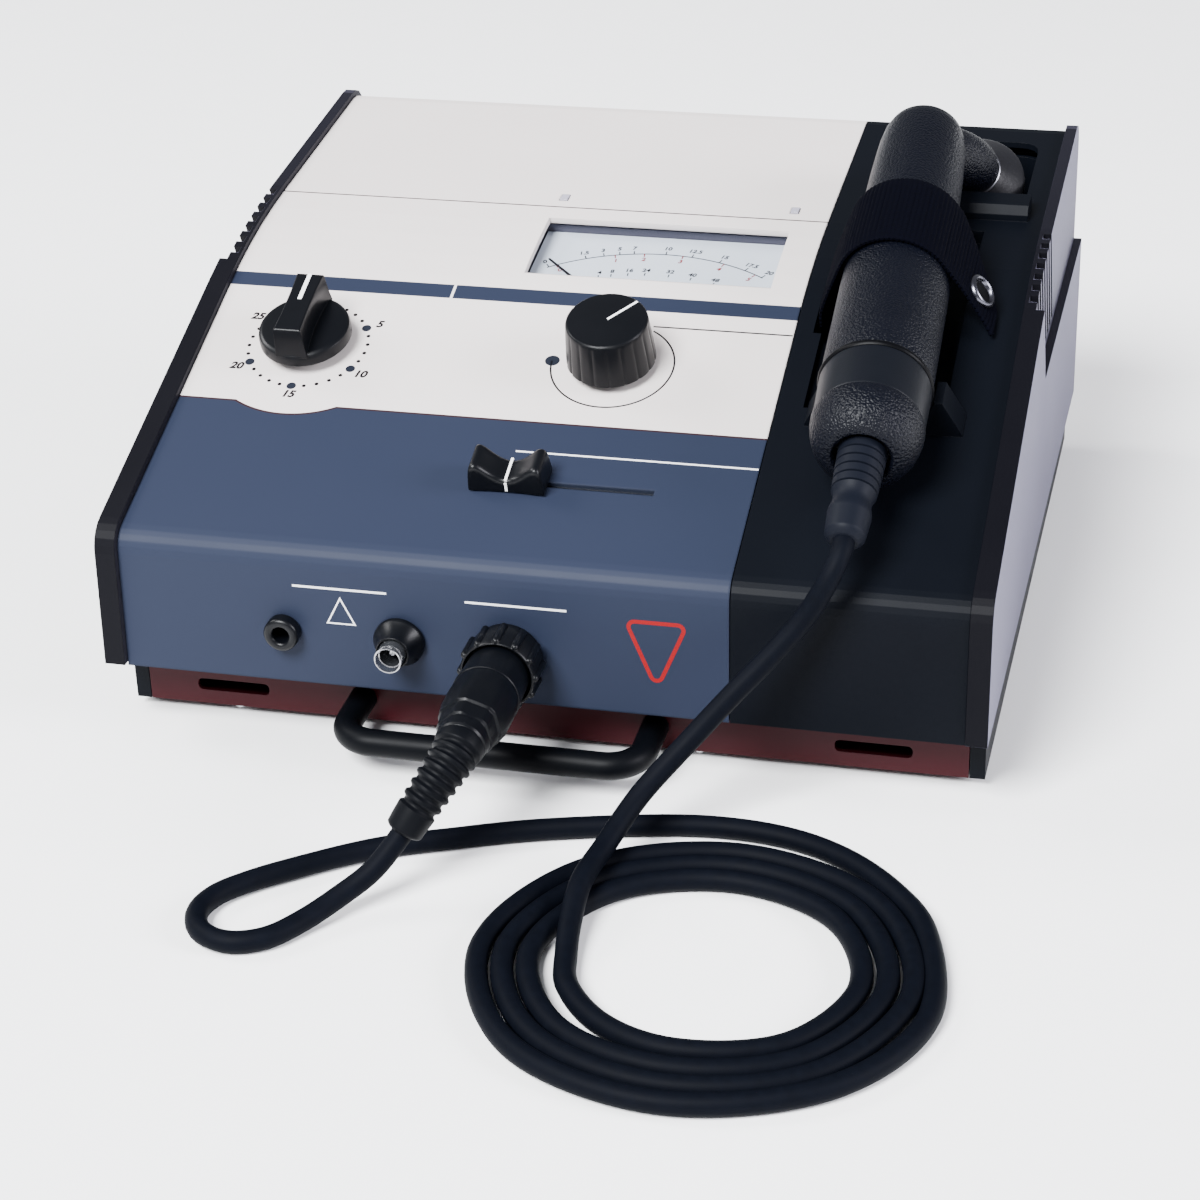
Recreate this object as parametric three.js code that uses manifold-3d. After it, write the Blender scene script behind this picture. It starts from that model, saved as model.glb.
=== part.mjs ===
// Desktop ultrasound therapy unit with its hand-held applicator, one named mesh for each piece.
// Millimetres, +Z up, +Y to the back. The origin is under the middle of the unit, at the feet.
// The pieces are laid out in console coordinates: X from the centre line, Y from the fold of the
// front panel, Z from the underside of the chassis. The outer group moves them to the origin.
import * as THREE from 'three';
import { mergeVertices } from 'three/addons/utils/BufferGeometryUtils.js';
import Module from 'manifold-3d';

const wasm = await Module();
wasm.setup();

// Driving dimensions
const FOOT_HEIGHT = 4;
const FRONT_REACH = -22;
const BACK_REACH = 325;
const WALL = 2.5;
const CAP_PROUD = 2.5;
const CAP_OUTER = 167.5;
const CAP_INNER = 159.5;
const CAP_RECESS = 164.2;
const PANEL_LEFT = -159.2;
const PANEL_RIGHT = 73.5;
const TRAY_LEFT = 73.9;
const TRAY_RIGHT = 159.2;
const CHASSIS_HALF = 159;
const CHASSIS_FRONT = 15;
const CHASSIS_BACK = 312;
const CHASSIS_TOP = 22;
const HOUSING_BOTTOM = 24.4;
const REAR_WALL = 317;
const FOLD_Z = 78.1;
const SLOPE_ANGLE = Math.atan2(124 - FOLD_Z, 136.8);
const METER_ANGLE = Math.atan2(7.5, 42);
const FACE_Y = -1.7;
const TIMER = { x: -116.35, s: 111.3 };
const INTENSITY = { x: 6.8, s: 112 };
const SLIDER = { x: -17.5, s: 44.5, slotLeft: -32, slotRight: 37 };
const CORD_RADIUS = 4;
const COIL = { x: 87.5, y: -121, inner: 41, outer: 79.5 };
const GRIP_RADIUS = 21.6;
const HANDSET_START = new THREE.Vector3(115.1, 33.4, 116.9);
const HANDSET_AXIS = new THREE.Vector3(-6.8, 210, 51.5).normalize();
const BOOT_END = new THREE.Vector3(114.3, 0, 100.5);
const HEAD_CENTRE = new THREE.Vector3(127.5, 257.3, 139.8);
const HEAD_AXIS = new THREE.Vector3(0.07, 0.72, -0.69).normalize();
const NECK = { radius: 11.2, end: -12.7, start: new THREE.Vector3(110, 216, 161), reach: 13 };
const PLUG_X = -8.6;
const PLUG_Z = 44.2;

// Finishes
const finish = (color, roughness, metalness = 0) => (
  new THREE.MeshStandardMaterial({ color, roughness, metalness })
);
const blackPlastic = finish(0x272b35, 0.55);
const glossBlack = finish(0x0d0e11, 0.25);
const maroonPaint = finish(0x4a1f22, 0.4);
const panelPaint = finish(0xd6d3d2, 0.5);
const steel = finish(0xb9bcc0, 0.35, 1);
const rubber = finish(0x17191d, 0.8);
const cordRubber = finish(0x2a3140, 0.6);
const webbing = finish(0x14172a, 0.9);
const clearPlastic = finish(0xe8eef2, 0.1);
const paleCard = finish(0xf2f0ea, 0.8);
const boardGreen = finish(0x2c5a38, 0.6);
const copper = finish(0xa8652e, 0.4, 1);

// Solids: geometries with merged corners go to the boolean library and back.
function toSolid(geometry) {
  const bare = geometry.clone();
  bare.deleteAttribute('normal');
  bare.deleteAttribute('uv');
  const merged = mergeVertices(bare, 1e-4);
  const vertProperties = new Float32Array(merged.attributes.position.array);
  const triVerts = new Uint32Array(merged.index.array);
  return new wasm.Manifold(new wasm.Mesh({ numProp: 3, vertProperties, triVerts }));
}

function toGeometry(solid) {
  const mesh = solid.getMesh();
  const geometry = new THREE.BufferGeometry();
  geometry.setAttribute('position', new THREE.BufferAttribute(mesh.vertProperties, 3));
  geometry.setIndex(new THREE.BufferAttribute(mesh.triVerts, 1));
  return geometry;
}

const cut = (base, ...tools) => (
  toGeometry(tools.reduce((solid, tool) => solid.subtract(toSolid(tool)), toSolid(base)))
);
const join = (base, ...others) => (
  toGeometry(others.reduce((solid, other) => solid.add(toSolid(other)), toSolid(base)))
);

// Shapes
const box = (x0, x1, y0, y1, z0, z1) => (
  new THREE.BoxGeometry(x1 - x0, y1 - y0, z1 - z0).translate((x0 + x1) / 2, (y0 + y1) / 2, (z0 + z1) / 2)
);
const cylinder = (radius, z0, z1, sides = 24, topRadius = radius) => (
  new THREE.CylinderGeometry(topRadius, radius, z1 - z0, sides)
    .rotateX(Math.PI / 2)
    .translate(0, 0, (z0 + z1) / 2)
);
const lathe = (profile, sides = 24) => (
  new THREE.LatheGeometry(profile.map(([r, z]) => new THREE.Vector2(r, z)), sides).rotateX(Math.PI / 2)
);
const outline = (points) => new THREE.Shape(points.map(([a, b]) => new THREE.Vector2(a, b)));

// A side outline, given in Y and Z, drawn across from x0 to x1.
function across(points, x0, x1) {
  const geometry = new THREE.ExtrudeGeometry(outline(points), { depth: x1 - x0, bevelEnabled: false });
  const basis = new THREE.Matrix4().set(0, 0, 1, x0, 1, 0, 0, 0, 0, 1, 0, 0, 0, 0, 0, 1);
  return geometry.applyMatrix4(basis);
}

// A plan outline, given in X and Y, raised from z0 to z1.
const raise = (shape, z0, z1, curveSegments = 4) => (
  new THREE.ExtrudeGeometry(shape, { depth: z1 - z0, bevelEnabled: false, curveSegments }).translate(0, 0, z0)
);

function roundedRectangle(width, height, radius) {
  const shape = new THREE.Shape();
  const w = width / 2;
  const h = height / 2;
  shape.moveTo(radius - w, -h);
  shape.lineTo(w - radius, -h);
  shape.quadraticCurveTo(w, -h, w, radius - h);
  shape.lineTo(w, h - radius);
  shape.quadraticCurveTo(w, h, w - radius, h);
  shape.lineTo(radius - w, h);
  shape.quadraticCurveTo(-w, h, -w, h - radius);
  shape.lineTo(-w, radius - h);
  shape.quadraticCurveTo(-w, -h, radius - w, -h);
  return shape;
}

// A round tube of even thickness along a curve.
function tube(curve, radius, steps, sides = 10) {
  const section = new THREE.Shape().absarc(0, 0, radius, 0, 2 * Math.PI);
  const options = { extrudePath: curve, steps, curveSegments: sides / 2, bevelEnabled: false };
  return new THREE.ExtrudeGeometry(section, options);
}

// The same polyline moved to its left by a distance, with mitred corners.
function offsetLine(points, distance) {
  const normals = points.slice(1).map(([y, z], i) => {
    const dy = y - points[i][0];
    const dz = z - points[i][1];
    const length = Math.hypot(dy, dz);
    return [-dz / length, dy / length];
  });
  return points.map(([y, z], i) => {
    const a = normals[Math.max(i - 1, 0)];
    const b = normals[Math.min(i, normals.length - 1)];
    const scale = distance / (1 + a[0] * b[0] + a[1] * b[1]);
    return [y + (a[0] + b[0]) * scale, z + (a[1] + b[1]) * scale];
  });
}

const band = (line, outside, inside) => (
  [...offsetLine(line, outside), ...offsetLine(line, inside).reverse()]
);

// Side profile of the wedge: front face, fold, slope, shallow top and rounded back edge.
function wedgeLine(lip) {
  const path = new THREE.Path();
  path.moveTo(lip, HOUSING_BOTTOM);
  path.lineTo(-2.8, HOUSING_BOTTOM);
  path.lineTo(-0.35, 71);
  path.quadraticCurveTo(0, FOLD_Z, 6.6, 80.3);
  path.lineTo(136.8, 124);
  path.quadraticCurveTo(169.1, 134.85, 207, 138);
  path.lineTo(305, 146.15);
  path.quadraticCurveTo(REAR_WALL, 147.2, REAR_WALL, 134);
  return path.getPoints(5).map((point) => [point.x, point.y]);
}
const skinLine = wedgeLine(12);

// Groups that carry the pieces
const unit = new THREE.Group();
unit.position.set(0, -(FRONT_REACH + BACK_REACH) / 2, FOOT_HEIGHT);

const slope = new THREE.Group();
slope.position.set(0, 0, FOLD_Z);
slope.rotation.x = SLOPE_ANGLE;

const meter = new THREE.Group();
meter.position.set(9.6, 176, 133.25);
meter.rotation.x = METER_ANGLE;

const front = new THREE.Group();
front.position.set(0, FACE_Y, 0);
front.rotation.x = Math.PI / 2;

const rear = new THREE.Group();
rear.position.set(0, REAR_WALL, 0);
rear.rotation.set(Math.PI / 2, Math.PI, 0);

const handset = new THREE.Group();
handset.position.copy(HANDSET_START);
handset.quaternion.setFromUnitVectors(new THREE.Vector3(0, 0, 1), HANDSET_AXIS);

const head = new THREE.Group();
head.position.copy(HEAD_CENTRE);
head.quaternion.setFromUnitVectors(new THREE.Vector3(0, 0, 1), HEAD_AXIS);

for (const group of [slope, meter, front, rear, handset, head]) {
  unit.add(group);
  group.updateMatrix();
}
const placed = (geometry, group) => geometry.clone().applyMatrix4(group.matrix);

function piece(name, geometry, material, group = unit, x = 0, y = 0, z = 0) {
  const mesh = new THREE.Mesh(geometry, material);
  mesh.name = name;
  mesh.position.set(x, y, z);
  group.add(mesh);
  return mesh;
}

// Chassis: an open tray of painted steel with two air slots in its front wall and four board posts.
const slotTool = raise(roundedRectangle(29, 5, 2.4), -3, 3).rotateX(Math.PI / 2);
const chassisSlots = [-124.7, 123.9].map((x) => slotTool.clone().translate(x, CHASSIS_FRONT, 8.4));
const boardPosts = [[-34, 66], [124, 66], [-34, 194], [124, 194]]
  .map(([x, y]) => cylinder(3, 1, 9.7, 6).translate(x, y, 0));
const chassisTray = cut(
  box(-CHASSIS_HALF, CHASSIS_HALF, CHASSIS_FRONT, CHASSIS_BACK, 0, CHASSIS_TOP),
  box(2 - CHASSIS_HALF, CHASSIS_HALF - 2, CHASSIS_FRONT + 2, CHASSIS_BACK - 2, 2, CHASSIS_TOP + 1),
  ...chassisSlots,
);
piece('base_chassis', join(chassisTray, ...boardPosts), maroonPaint);

for (const [side, sign] of [['left', -1], ['right', 1]]) {
  const rail = box(CHASSIS_HALF + 0.3, 165, CHASSIS_FRONT, CHASSIS_BACK, 0, 19.3);
  piece(`side_rail_${side}`, rail.translate(sign < 0 ? -CHASSIS_HALF - 165.3 : 0, 0, 0), blackPlastic);
}

const footPlaces = [[-141, 27], [141, 27], [-141, 298], [141, 298]];
footPlaces.forEach(([x, y], i) => {
  piece(`foot_${i + 1}`, cylinder(5.5, -FOOT_HEIGHT, -0.3, 16, 6.5), rubber, unit, x, y, 0);
});

// Carry handle: one bent bar across the front, clamped by a nut on each end inside the chassis.
const HANDLE = { left: -72, right: 42, z: 9.4, y: -16.8, bend: 13, radius: 5.2 };
const bar = new THREE.CurvePath();
const at = (x, y) => new THREE.Vector3(x, y, HANDLE.z);
bar.add(new THREE.LineCurve3(
  at(HANDLE.left, CHASSIS_FRONT - 0.3),
  at(HANDLE.left, HANDLE.y + HANDLE.bend),
));
bar.add(new THREE.QuadraticBezierCurve3(
  at(HANDLE.left, HANDLE.y + HANDLE.bend),
  at(HANDLE.left, HANDLE.y),
  at(HANDLE.left + HANDLE.bend, HANDLE.y),
));
bar.add(new THREE.LineCurve3(
  at(HANDLE.left + HANDLE.bend, HANDLE.y),
  at(HANDLE.right - HANDLE.bend, HANDLE.y),
));
bar.add(new THREE.QuadraticBezierCurve3(
  at(HANDLE.right - HANDLE.bend, HANDLE.y),
  at(HANDLE.right, HANDLE.y),
  at(HANDLE.right, HANDLE.y + HANDLE.bend),
));
bar.add(new THREE.LineCurve3(
  at(HANDLE.right, HANDLE.y + HANDLE.bend),
  at(HANDLE.right, CHASSIS_FRONT - 0.3),
));
piece('carry_handle', tube(bar, HANDLE.radius, 34, 12), blackPlastic);
for (const [side, x] of [['left', HANDLE.left], ['right', HANDLE.right]]) {
  const nut = cylinder(6, 0, 5, 6).rotateX(-Math.PI / 2);
  piece(`handle_nut_${side}`, nut, steel, unit, x, CHASSIS_FRONT + 2.3, HANDLE.z);
}

// Control panel: a bent sheet with the meter window, slider slot, shaft holes and jack holes.
const meterWindow = placed(box(-50.1, 50.1, -21.2, 21.2, -30, 30), meter);
const LAMPS = [['lamp_output', -38.7], ['lamp_interrupt', 58.6]];
const lampHole = ([, x]) => box(x - 1.9, x + 1.9, 213, 219, 125, 150);
const roundHole = (radius, x, y, group) => (
  placed(cylinder(radius, -12, 12, 20).translate(x, y, 0), group)
);
piece('control_panel', cut(
  across(band(skinLine, 0, -WALL), PANEL_LEFT, PANEL_RIGHT),
  meterWindow,
  ...LAMPS.map(lampHole),
  placed(box(SLIDER.slotLeft, SLIDER.slotRight, SLIDER.s - 1.3, SLIDER.s + 1.3, -12, 12), slope),
  roundHole(4.5, TIMER.x, TIMER.s, slope),
  roundHole(4.5, INTENSITY.x, INTENSITY.s, slope),
  roundHole(4.6, -95.1, 45.8, front),
  roundHole(4.6, -50.1, 45.7, front),
  roundHole(10.5, PLUG_X, PLUG_Z, front),
), panelPaint);

// Handset tray: the right of the wedge, with a channel under the grip, a cradle, a rest and a well.
const CHANNEL = { left: 84, right: 137, from: 91, to: 207, depth: 5.4 };
const below = (from, to, top, bottom) => {
  const line = wedgeLine(0).filter(([y]) => y > from && y < to);
  const height = (y) => {
    const whole = wedgeLine(0);
    const i = whole.findIndex(([next]) => next > y);
    const [[y0, z0], [y1, z1]] = [whole[i - 1], whole[i]];
    return z0 + ((z1 - z0) * (y - y0)) / (y1 - y0);
  };
  const edge = [[from, height(from)], ...line, [to, height(to)]];
  return [...edge.map(([y, z]) => [y, z + top]), ...edge.map(([y, z]) => [y, z - bottom]).reverse()];
};
const channelPan = across(
  below(CHANNEL.from - WALL, CHANNEL.to + WALL, -0.5, CHANNEL.depth + WALL),
  CHANNEL.left - WALL,
  CHANNEL.right + WALL,
);
const channelVoid = across(
  below(CHANNEL.from, CHANNEL.to, 4, CHANNEL.depth),
  CHANNEL.left,
  CHANNEL.right,
);
const WELL = { left: 84, right: 150, from: 235, to: 294, floor: 112, corner: 9 };
const wellShape = (grow) => roundedRectangle(
  WELL.right - WELL.left + 2 * grow,
  WELL.to - WELL.from + 2 * grow,
  WELL.corner + grow,
);
const wellMiddle = [(WELL.left + WELL.right) / 2, (WELL.from + WELL.to) / 2, 0];
const wellWalls = raise(wellShape(2.2), WELL.floor - 2.2, 139).translate(...wellMiddle);
const wellVoid = raise(wellShape(0), WELL.floor, 160).translate(...wellMiddle);
const cradle = placed(
  raise(outline([[86, -5], [145, -5], [145, 1], [138, 16], [93, 16], [86, 1]]), 0, 12)
    .rotateX(Math.PI / 2)
    .translate(0, 98, 0),
  slope,
);
const restBar = across([
  [217.5, 136], [217.5, 141.5], [220, 145], [230.5, 145.9], [232.8, 142.5], [232.8, 136],
], 86, 153);
const handsetClearance = placed(cylinder(GRIP_RADIUS + 0.5, -5, 216, 32), handset);
const strapSlot = placed(box(80.8, 85.6, 138, 186, -18, 12), slope);
const traySkin = across(band(skinLine, 0, -WALL), TRAY_LEFT, TRAY_RIGHT);
const trayShell = cut(join(traySkin, channelPan, wellWalls), channelVoid, wellVoid);
piece('handset_tray', cut(join(trayShell, cradle, restBar), handsetClearance, strapSlot), blackPlastic);

// End caps: thick side mouldings that stand proud of the panel, recessed at the upper back, with louvres.
const LOUVRE = {
  count: 7, first: 154.5, pitch: 8.3, width: 4.3, lean: -0.489, bottom: 97, middle: 132, top: 165, depth: 1.4,
};
function louvre(y) {
  const bottomY = y - (LOUVRE.middle - LOUVRE.bottom) * LOUVRE.lean;
  const topY = y - (LOUVRE.middle - LOUVRE.top) * LOUVRE.lean;
  const half = LOUVRE.width / 2;
  return across([
    [bottomY - half, LOUVRE.bottom],
    [bottomY + half, LOUVRE.bottom],
    [topY + half, LOUVRE.top],
    [topY - half, LOUVRE.top],
  ], CAP_INNER + LOUVRE.depth, CAP_OUTER + 5);
}
const CAP_WALL = 3.4;
const capSide = [
  ...offsetLine(wedgeLine(-2.8).slice(1), CAP_PROUD),
  [REAR_WALL + CAP_PROUD, 20.5],
  [-5.3, 25.6],
];
const capSolid = cut(
  across(capSide, CAP_INNER, CAP_OUTER),
  across([[166, 93.7], [330, 93.7], [330, 170], [128.8, 170]], CAP_RECESS, CAP_OUTER + 5),
  across([
    [6, 32], [306, 29], [306, 87], [150, 87], [120, 106], [12, 72],
  ], CAP_INNER - 1, CAP_OUTER - CAP_WALL),
  ...Array.from({ length: LOUVRE.count }, (_, i) => louvre(LOUVRE.first + i * LOUVRE.pitch)),
);
piece('end_cap_right', capSolid, blackPlastic);
piece('end_cap_left', toGeometry(toSolid(capSolid).mirror([1, 0, 0])), blackPlastic);

// Rear panel: a flat sheet with an opening for the mains inlet, a hole for the fuse and air slots.
const INLET = { x: 110, z: 62 };
const FUSE = { x: 70, z: 62 };
const AIR_SLOTS = { count: 6, width: 70, height: 4, x: -60, z: 50, pitch: 10 };
const airSlot = (i) => (
  raise(roundedRectangle(AIR_SLOTS.width, AIR_SLOTS.height, 1.9), -8, 8)
    .translate(AIR_SLOTS.x, AIR_SLOTS.z + i * AIR_SLOTS.pitch, 0)
);
piece('rear_panel', cut(
  box(-158.9, 158.9, HOUSING_BOTTOM, 133.6, -WALL - 0.2, 0),
  box(INLET.x - 13.8, INLET.x + 13.8, INLET.z - 10.3, INLET.z + 10.3, -8, 8),
  cylinder(6.4, -8, 8).translate(FUSE.x, FUSE.z, 0),
  ...Array.from({ length: AIR_SLOTS.count }, (_, i) => airSlot(i)),
), blackPlastic, rear);

// Mains inlet, fuse holder and glass fuse.
const pin = (x, y) => box(x - 1, x + 1, y - 2, y + 2, -15, -5.5);
const inletPins = [pin(-7, -1.5), pin(0, 2.5), pin(7, -1.5)];
const inletShell = cut(
  join(box(-15.5, 15.5, -12.5, 12.5, 0.3, 2.5), box(-13.4, 13.4, -9.9, 9.9, -20, 1)),
  box(-11.4, 11.4, -7.4, 7.4, -14, 4),
);
piece('mains_inlet', join(inletShell, ...inletPins), blackPlastic, rear, INLET.x, INLET.z, 0);
piece('fuse_holder', lathe([
  [0, -34], [6, -34], [6, 0.3], [8, 0.3], [8, 2.4], [4.8, 2.4], [4.8, -32], [0, -32],
]), blackPlastic, rear, FUSE.x, FUSE.z, 0);
piece('fuse', cylinder(3, -31.5, -6.5, 16), clearPlastic, rear, FUSE.x, FUSE.z, 0);
piece('fuse_cap', cut(
  lathe([[0, -6], [4.4, -6], [4.4, 2.7], [7, 2.7], [6.6, 8], [0, 8]]),
  box(-5, 5, -0.8, 0.8, 6.6, 9),
), glossBlack, rear, FUSE.x, FUSE.z, 0);

// Meter: an open case under the window, holding the movement, scale card and needle under a lens.
const METER = { pivot: -45, needle: 65, rest: 45 };
piece('meter_case', cut(
  join(box(-55, 55, -56, 26, -34, -8), box(-55, 55, -23, 26, -9, -4.9)),
  box(-53, 53, -54, 24, -32, 0),
), blackPlastic, meter);
piece('meter_movement', cylinder(8.3, -31.7, -9.8, 20), steel, meter, 0, METER.pivot, 0);
piece('meter_card', box(-52, 52, -23, 23.6, -8.9, -8.1), paleCard, meter);
const pointer = outline([[-0.9, -6], [0.9, -6], [0.35, METER.needle], [-0.35, METER.needle]]);
piece('meter_needle', join(cylinder(3, -9.5, -6.6, 16), raise(pointer, -7.3, -6.8))
  .rotateZ(METER.rest * Math.PI / 180), glossBlack, meter, 0, METER.pivot, 0);
piece('meter_lens', box(-54, 54, -22.8, 25.8, -4.6, -3.5), clearPlastic, meter);
for (const [name, x] of LAMPS) {
  piece(name, box(-1.6, 1.6, 213.3, 218.7, 132, 139.2), clearPlastic, unit, x, 0, 0);
}

// Timer: clockwork box under the panel, its shaft, and a disc knob with a raised pointer bar.
piece('timer_mechanism', box(-22, 22, -22, 22, -28, -3.4), steel, slope, TIMER.x, TIMER.s, 0);
piece('timer_shaft', cylinder(3, -3.1, 8.6, 16), steel, slope, TIMER.x, TIMER.s, 0);
const waist = new THREE.Shape();
waist.moveTo(-6.2, -17.6);
waist.lineTo(6.2, -17.6);
waist.quadraticCurveTo(3.2, 0, 5.2, 17.6);
waist.lineTo(-5.2, 17.6);
waist.quadraticCurveTo(-3.2, 0, -6.2, -17.6);
piece('timer_knob', cut(
  join(cylinder(18.3, 4.5, 10.5, 32, 17.4), raise(waist, 5, 22.5, 5)),
  cylinder(3.3, 0, 9, 16),
), glossBlack, slope, TIMER.x, TIMER.s, 0);

// Intensity control: a rotary potentiometer, its shaft and a tall fluted knob.
piece('intensity_control', cylinder(10, -18, -3.4, 20), steel, slope, INTENSITY.x, INTENSITY.s, 0);
piece('intensity_shaft', cylinder(3, -3.1, 10.6, 16), steel, slope, INTENSITY.x, INTENSITY.s, 0);
const FLUTE = { count: 18, radius: 2.2, out: 18.3 };
const flute = (turn) => (
  cylinder(FLUTE.radius, 6.4, 30, 8)
    .rotateZ(turn)
    .translate(FLUTE.out * Math.cos(turn), FLUTE.out * Math.sin(turn), 0)
);
piece('intensity_knob', cut(
  lathe([[0, 3.6], [17.3, 3.6], [17.3, 5.8], [16.8, 6.4], [16.2, 22.2], [15.4, 23], [0, 23]], 36),
  cylinder(3.3, 0, 11, 16),
  ...Array.from({ length: FLUTE.count }, (_, i) => flute((i * 2 * Math.PI) / FLUTE.count)),
), glossBlack, slope, INTENSITY.x, INTENSITY.s, 0);

// Pulse-rate slider: a slide potentiometer, its flat stem through the slot and a saddle-shaped cap.
piece('slide_control', box(-32, 70, -6.5, 6.5, -15, -3.4), steel, slope, SLIDER.x, SLIDER.s, 0);
piece('slider_stem', box(-3, 3, -0.7, 0.7, -3.1, 4.6), steel, slope, SLIDER.x, SLIDER.s, 0);
const saddle = new THREE.Shape();
saddle.moveTo(-14.6, 0.9);
saddle.lineTo(14.6, 0.9);
saddle.lineTo(14.2, 12.6);
saddle.lineTo(11.4, 13);
saddle.quadraticCurveTo(0, 5.5, -11.4, 13);
saddle.lineTo(-14.2, 12.6);
const saddleCap = raise(saddle, -7, 7, 6).rotateX(Math.PI / 2);
const stemSocket = box(-3.4, 3.4, -1.2, 1.2, 0, 5);
piece('slider_knob', cut(saddleCap, stemSocket), glossBlack, slope, SLIDER.x, SLIDER.s, 0);

// Front sockets: stimulator jack, insulated output post and the applicator's panel connector.
piece('stimulator_jack', lathe([
  [0, -12], [4.3, -12], [4.3, 0.75], [6.7, 0.75], [6.7, 5], [5.9, 5.8], [3.2, 5.8], [3.2, -8], [0, -8],
]), glossBlack, front, -95.1, 45.8, 0);
piece('output_post_collar', lathe([
  [0, -12], [4.3, -12], [4.3, 0.95], [9.7, 0.95], [9.7, 2.8],
  [7, 6.2], [6.4, 10.5], [5.5, 10.5], [5.5, 5.5], [0, 5.5],
]), glossBlack, front, -50.1, 45.7, 0);
piece('output_post_tube', lathe([
  [0, 5.8], [5.2, 5.8], [5.2, 16], [4.4, 16], [4.4, 7], [0, 7],
]), clearPlastic, front, -50.1, 45.7, 0);
piece('output_socket', lathe([
  [0, -22], [9.8, -22], [9.8, 1], [13, 1], [13, 2.9], [9.6, 2.9], [9.6, 12], [0, 12],
]), glossBlack, front, PLUG_X, PLUG_Z, 0);

// Applicator plug: a lugged coupling ring over the plug body, then a curved boot round the cord.
const lug = (angle) => (
  cylinder(1.3, 3.6, 16.4, 8).translate(13.9 * Math.cos(angle), 13.9 * Math.sin(angle), 0)
);
piece('plug_ring', join(
  lathe([[10.2, 3.3], [13.9, 3.3], [13.9, 17.3], [12.8, 17.3], [12.8, 6.5], [10.2, 6.5], [10.2, 3.3]]),
  ...Array.from({ length: 12 }, (_, i) => lug((i * Math.PI) / 6)),
), glossBlack, front, PLUG_X, PLUG_Z, 0);
piece('plug_body', lathe([
  [0, 12.3], [12.2, 12.3], [12.2, 21], [12.5, 23], [12.5, 41], [9.6, 54], [9.6, 59], [0, 59],
]), glossBlack, front, PLUG_X, PLUG_Z, 0);
const plugEnd = new THREE.Vector3(PLUG_X, FACE_Y - 59.3, PLUG_Z);
const plugBootEnd = new THREE.Vector3(-24, -89.5, 20.5);
const bootCurve = new THREE.CubicBezierCurve3(
  plugEnd,
  new THREE.Vector3(PLUG_X, -72, PLUG_Z),
  new THREE.Vector3(-18.5, -83, 29.5),
  plugBootEnd,
);
piece('plug_boot', tube(bootCurve, 7.2, 8, 12), rubber);

// Applicator: tail cap, collar, seal ring, textured grip with its neck, and the sound head.
piece('handset_tail_cap', lathe([
  [0, 6], [10.3, 6], [10.3, 0], [12.5, 0], [16.8, 3.5], [19.8, 9], [20.9, 15], [20.8, 18.2], [0, 18.2],
]), rubber, handset);
piece('handset_collar', lathe([[0, 18.5], [20.3, 18.5], [20.8, 39.8], [0, 39.8]]), blackPlastic, handset);
piece('handset_seal', lathe([
  [17.6, 40.1], [21.6, 40.1], [21.6, 42.4], [17.6, 42.4], [17.6, 40.1],
]), rubber, handset);
const grip = placed(lathe([
  [0, 40.1], [17.3, 40.1], [17.3, 42.7], [20.9, 42.7], [20.8, 95], [20.3, 120], [18.8, 160],
  [17.8, 190], [16.6, 203], [13, 210.5], [7, 214.5], [0, 215.5],
]), handset);
const neckEnd = HEAD_CENTRE.clone().addScaledVector(HEAD_AXIS, NECK.end);
const neckCurve = new THREE.CubicBezierCurve3(
  NECK.start,
  NECK.start.clone().addScaledVector(HANDSET_AXIS, NECK.reach),
  neckEnd.clone().addScaledVector(HEAD_AXIS, -NECK.reach),
  neckEnd,
);
const neck = tube(neckCurve, NECK.radius, 10, 20);
piece('handset_grip', join(grip, neck), rubber);
piece('transducer_head', lathe([
  [0, -12.4], [11.2, -12.4], [11.4, -10.6], [13.4, -8.2], [16.6, -4.4], [19.4, -0.9], [20, 0.2], [20, 1.4],
  [16, 1.4], [16, -2.2], [0, -2.2],
], 28), blackPlastic, head);
piece('transducer_crystal', cylinder(15, -1.8, 1.4, 20), copper, head);
piece('transducer_face', lathe([
  [0, 1.7], [19.5, 1.7], [19.8, 2.2], [19.8, 3.8], [18.8, 4.8], [0, 4.8],
], 28), steel, head);

const bootStart = HANDSET_START.clone().addScaledVector(HANDSET_AXIS, 3.6);
const handsetBoot = new THREE.Group();
handsetBoot.position.copy(bootStart);
const bootAxis = BOOT_END.clone().sub(bootStart);
const bootLength = bootAxis.length();
handsetBoot.quaternion.setFromUnitVectors(new THREE.Vector3(0, 0, 1), bootAxis.normalize());
unit.add(handsetBoot);
piece('handset_boot', lathe([
  [0, 0], [9, 0], [8.6, 14], [7.2, 22], [7.2, 25], [8.3, 29], [7.6, bootLength - 4], [5, bootLength],
  [0, bootLength],
]), rubber, handsetBoot);

// Hold-down strap: a band that comes up through a slot, over the grip and down to a press stud.
const STRAP = { along: 123.8, width: 39.5, thickness: 2, radius: 22.2, bend: 30.6, far: 160.4 };
const strapGroup = new THREE.Group();
strapGroup.position.copy(HANDSET_START).addScaledVector(HANDSET_AXIS, STRAP.along);
strapGroup.rotation.x = Math.PI / 2 + Math.asin(HANDSET_AXIS.z);
unit.add(strapGroup);
const onArc = (degrees) => [
  STRAP.radius * Math.cos((degrees * Math.PI) / 180),
  STRAP.radius * Math.sin((degrees * Math.PI) / 180),
];
const arcSteps = 10;
const strapLine = [
  [38, -15.4],
  ...Array.from({ length: arcSteps + 1 }, (_, i) => (
    onArc(STRAP.bend + ((STRAP.far - STRAP.bend) * i) / arcSteps)
  )),
  [-28.6, -14.5],
  [-28.9, -21],
];
const strapBand = band(strapLine, STRAP.thickness / 2, -STRAP.thickness / 2);
const strapTaper = raise(outline([[21, 21.5], [50, 21.5], [50, -15], [38, -12]]), -30, 20);
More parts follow.
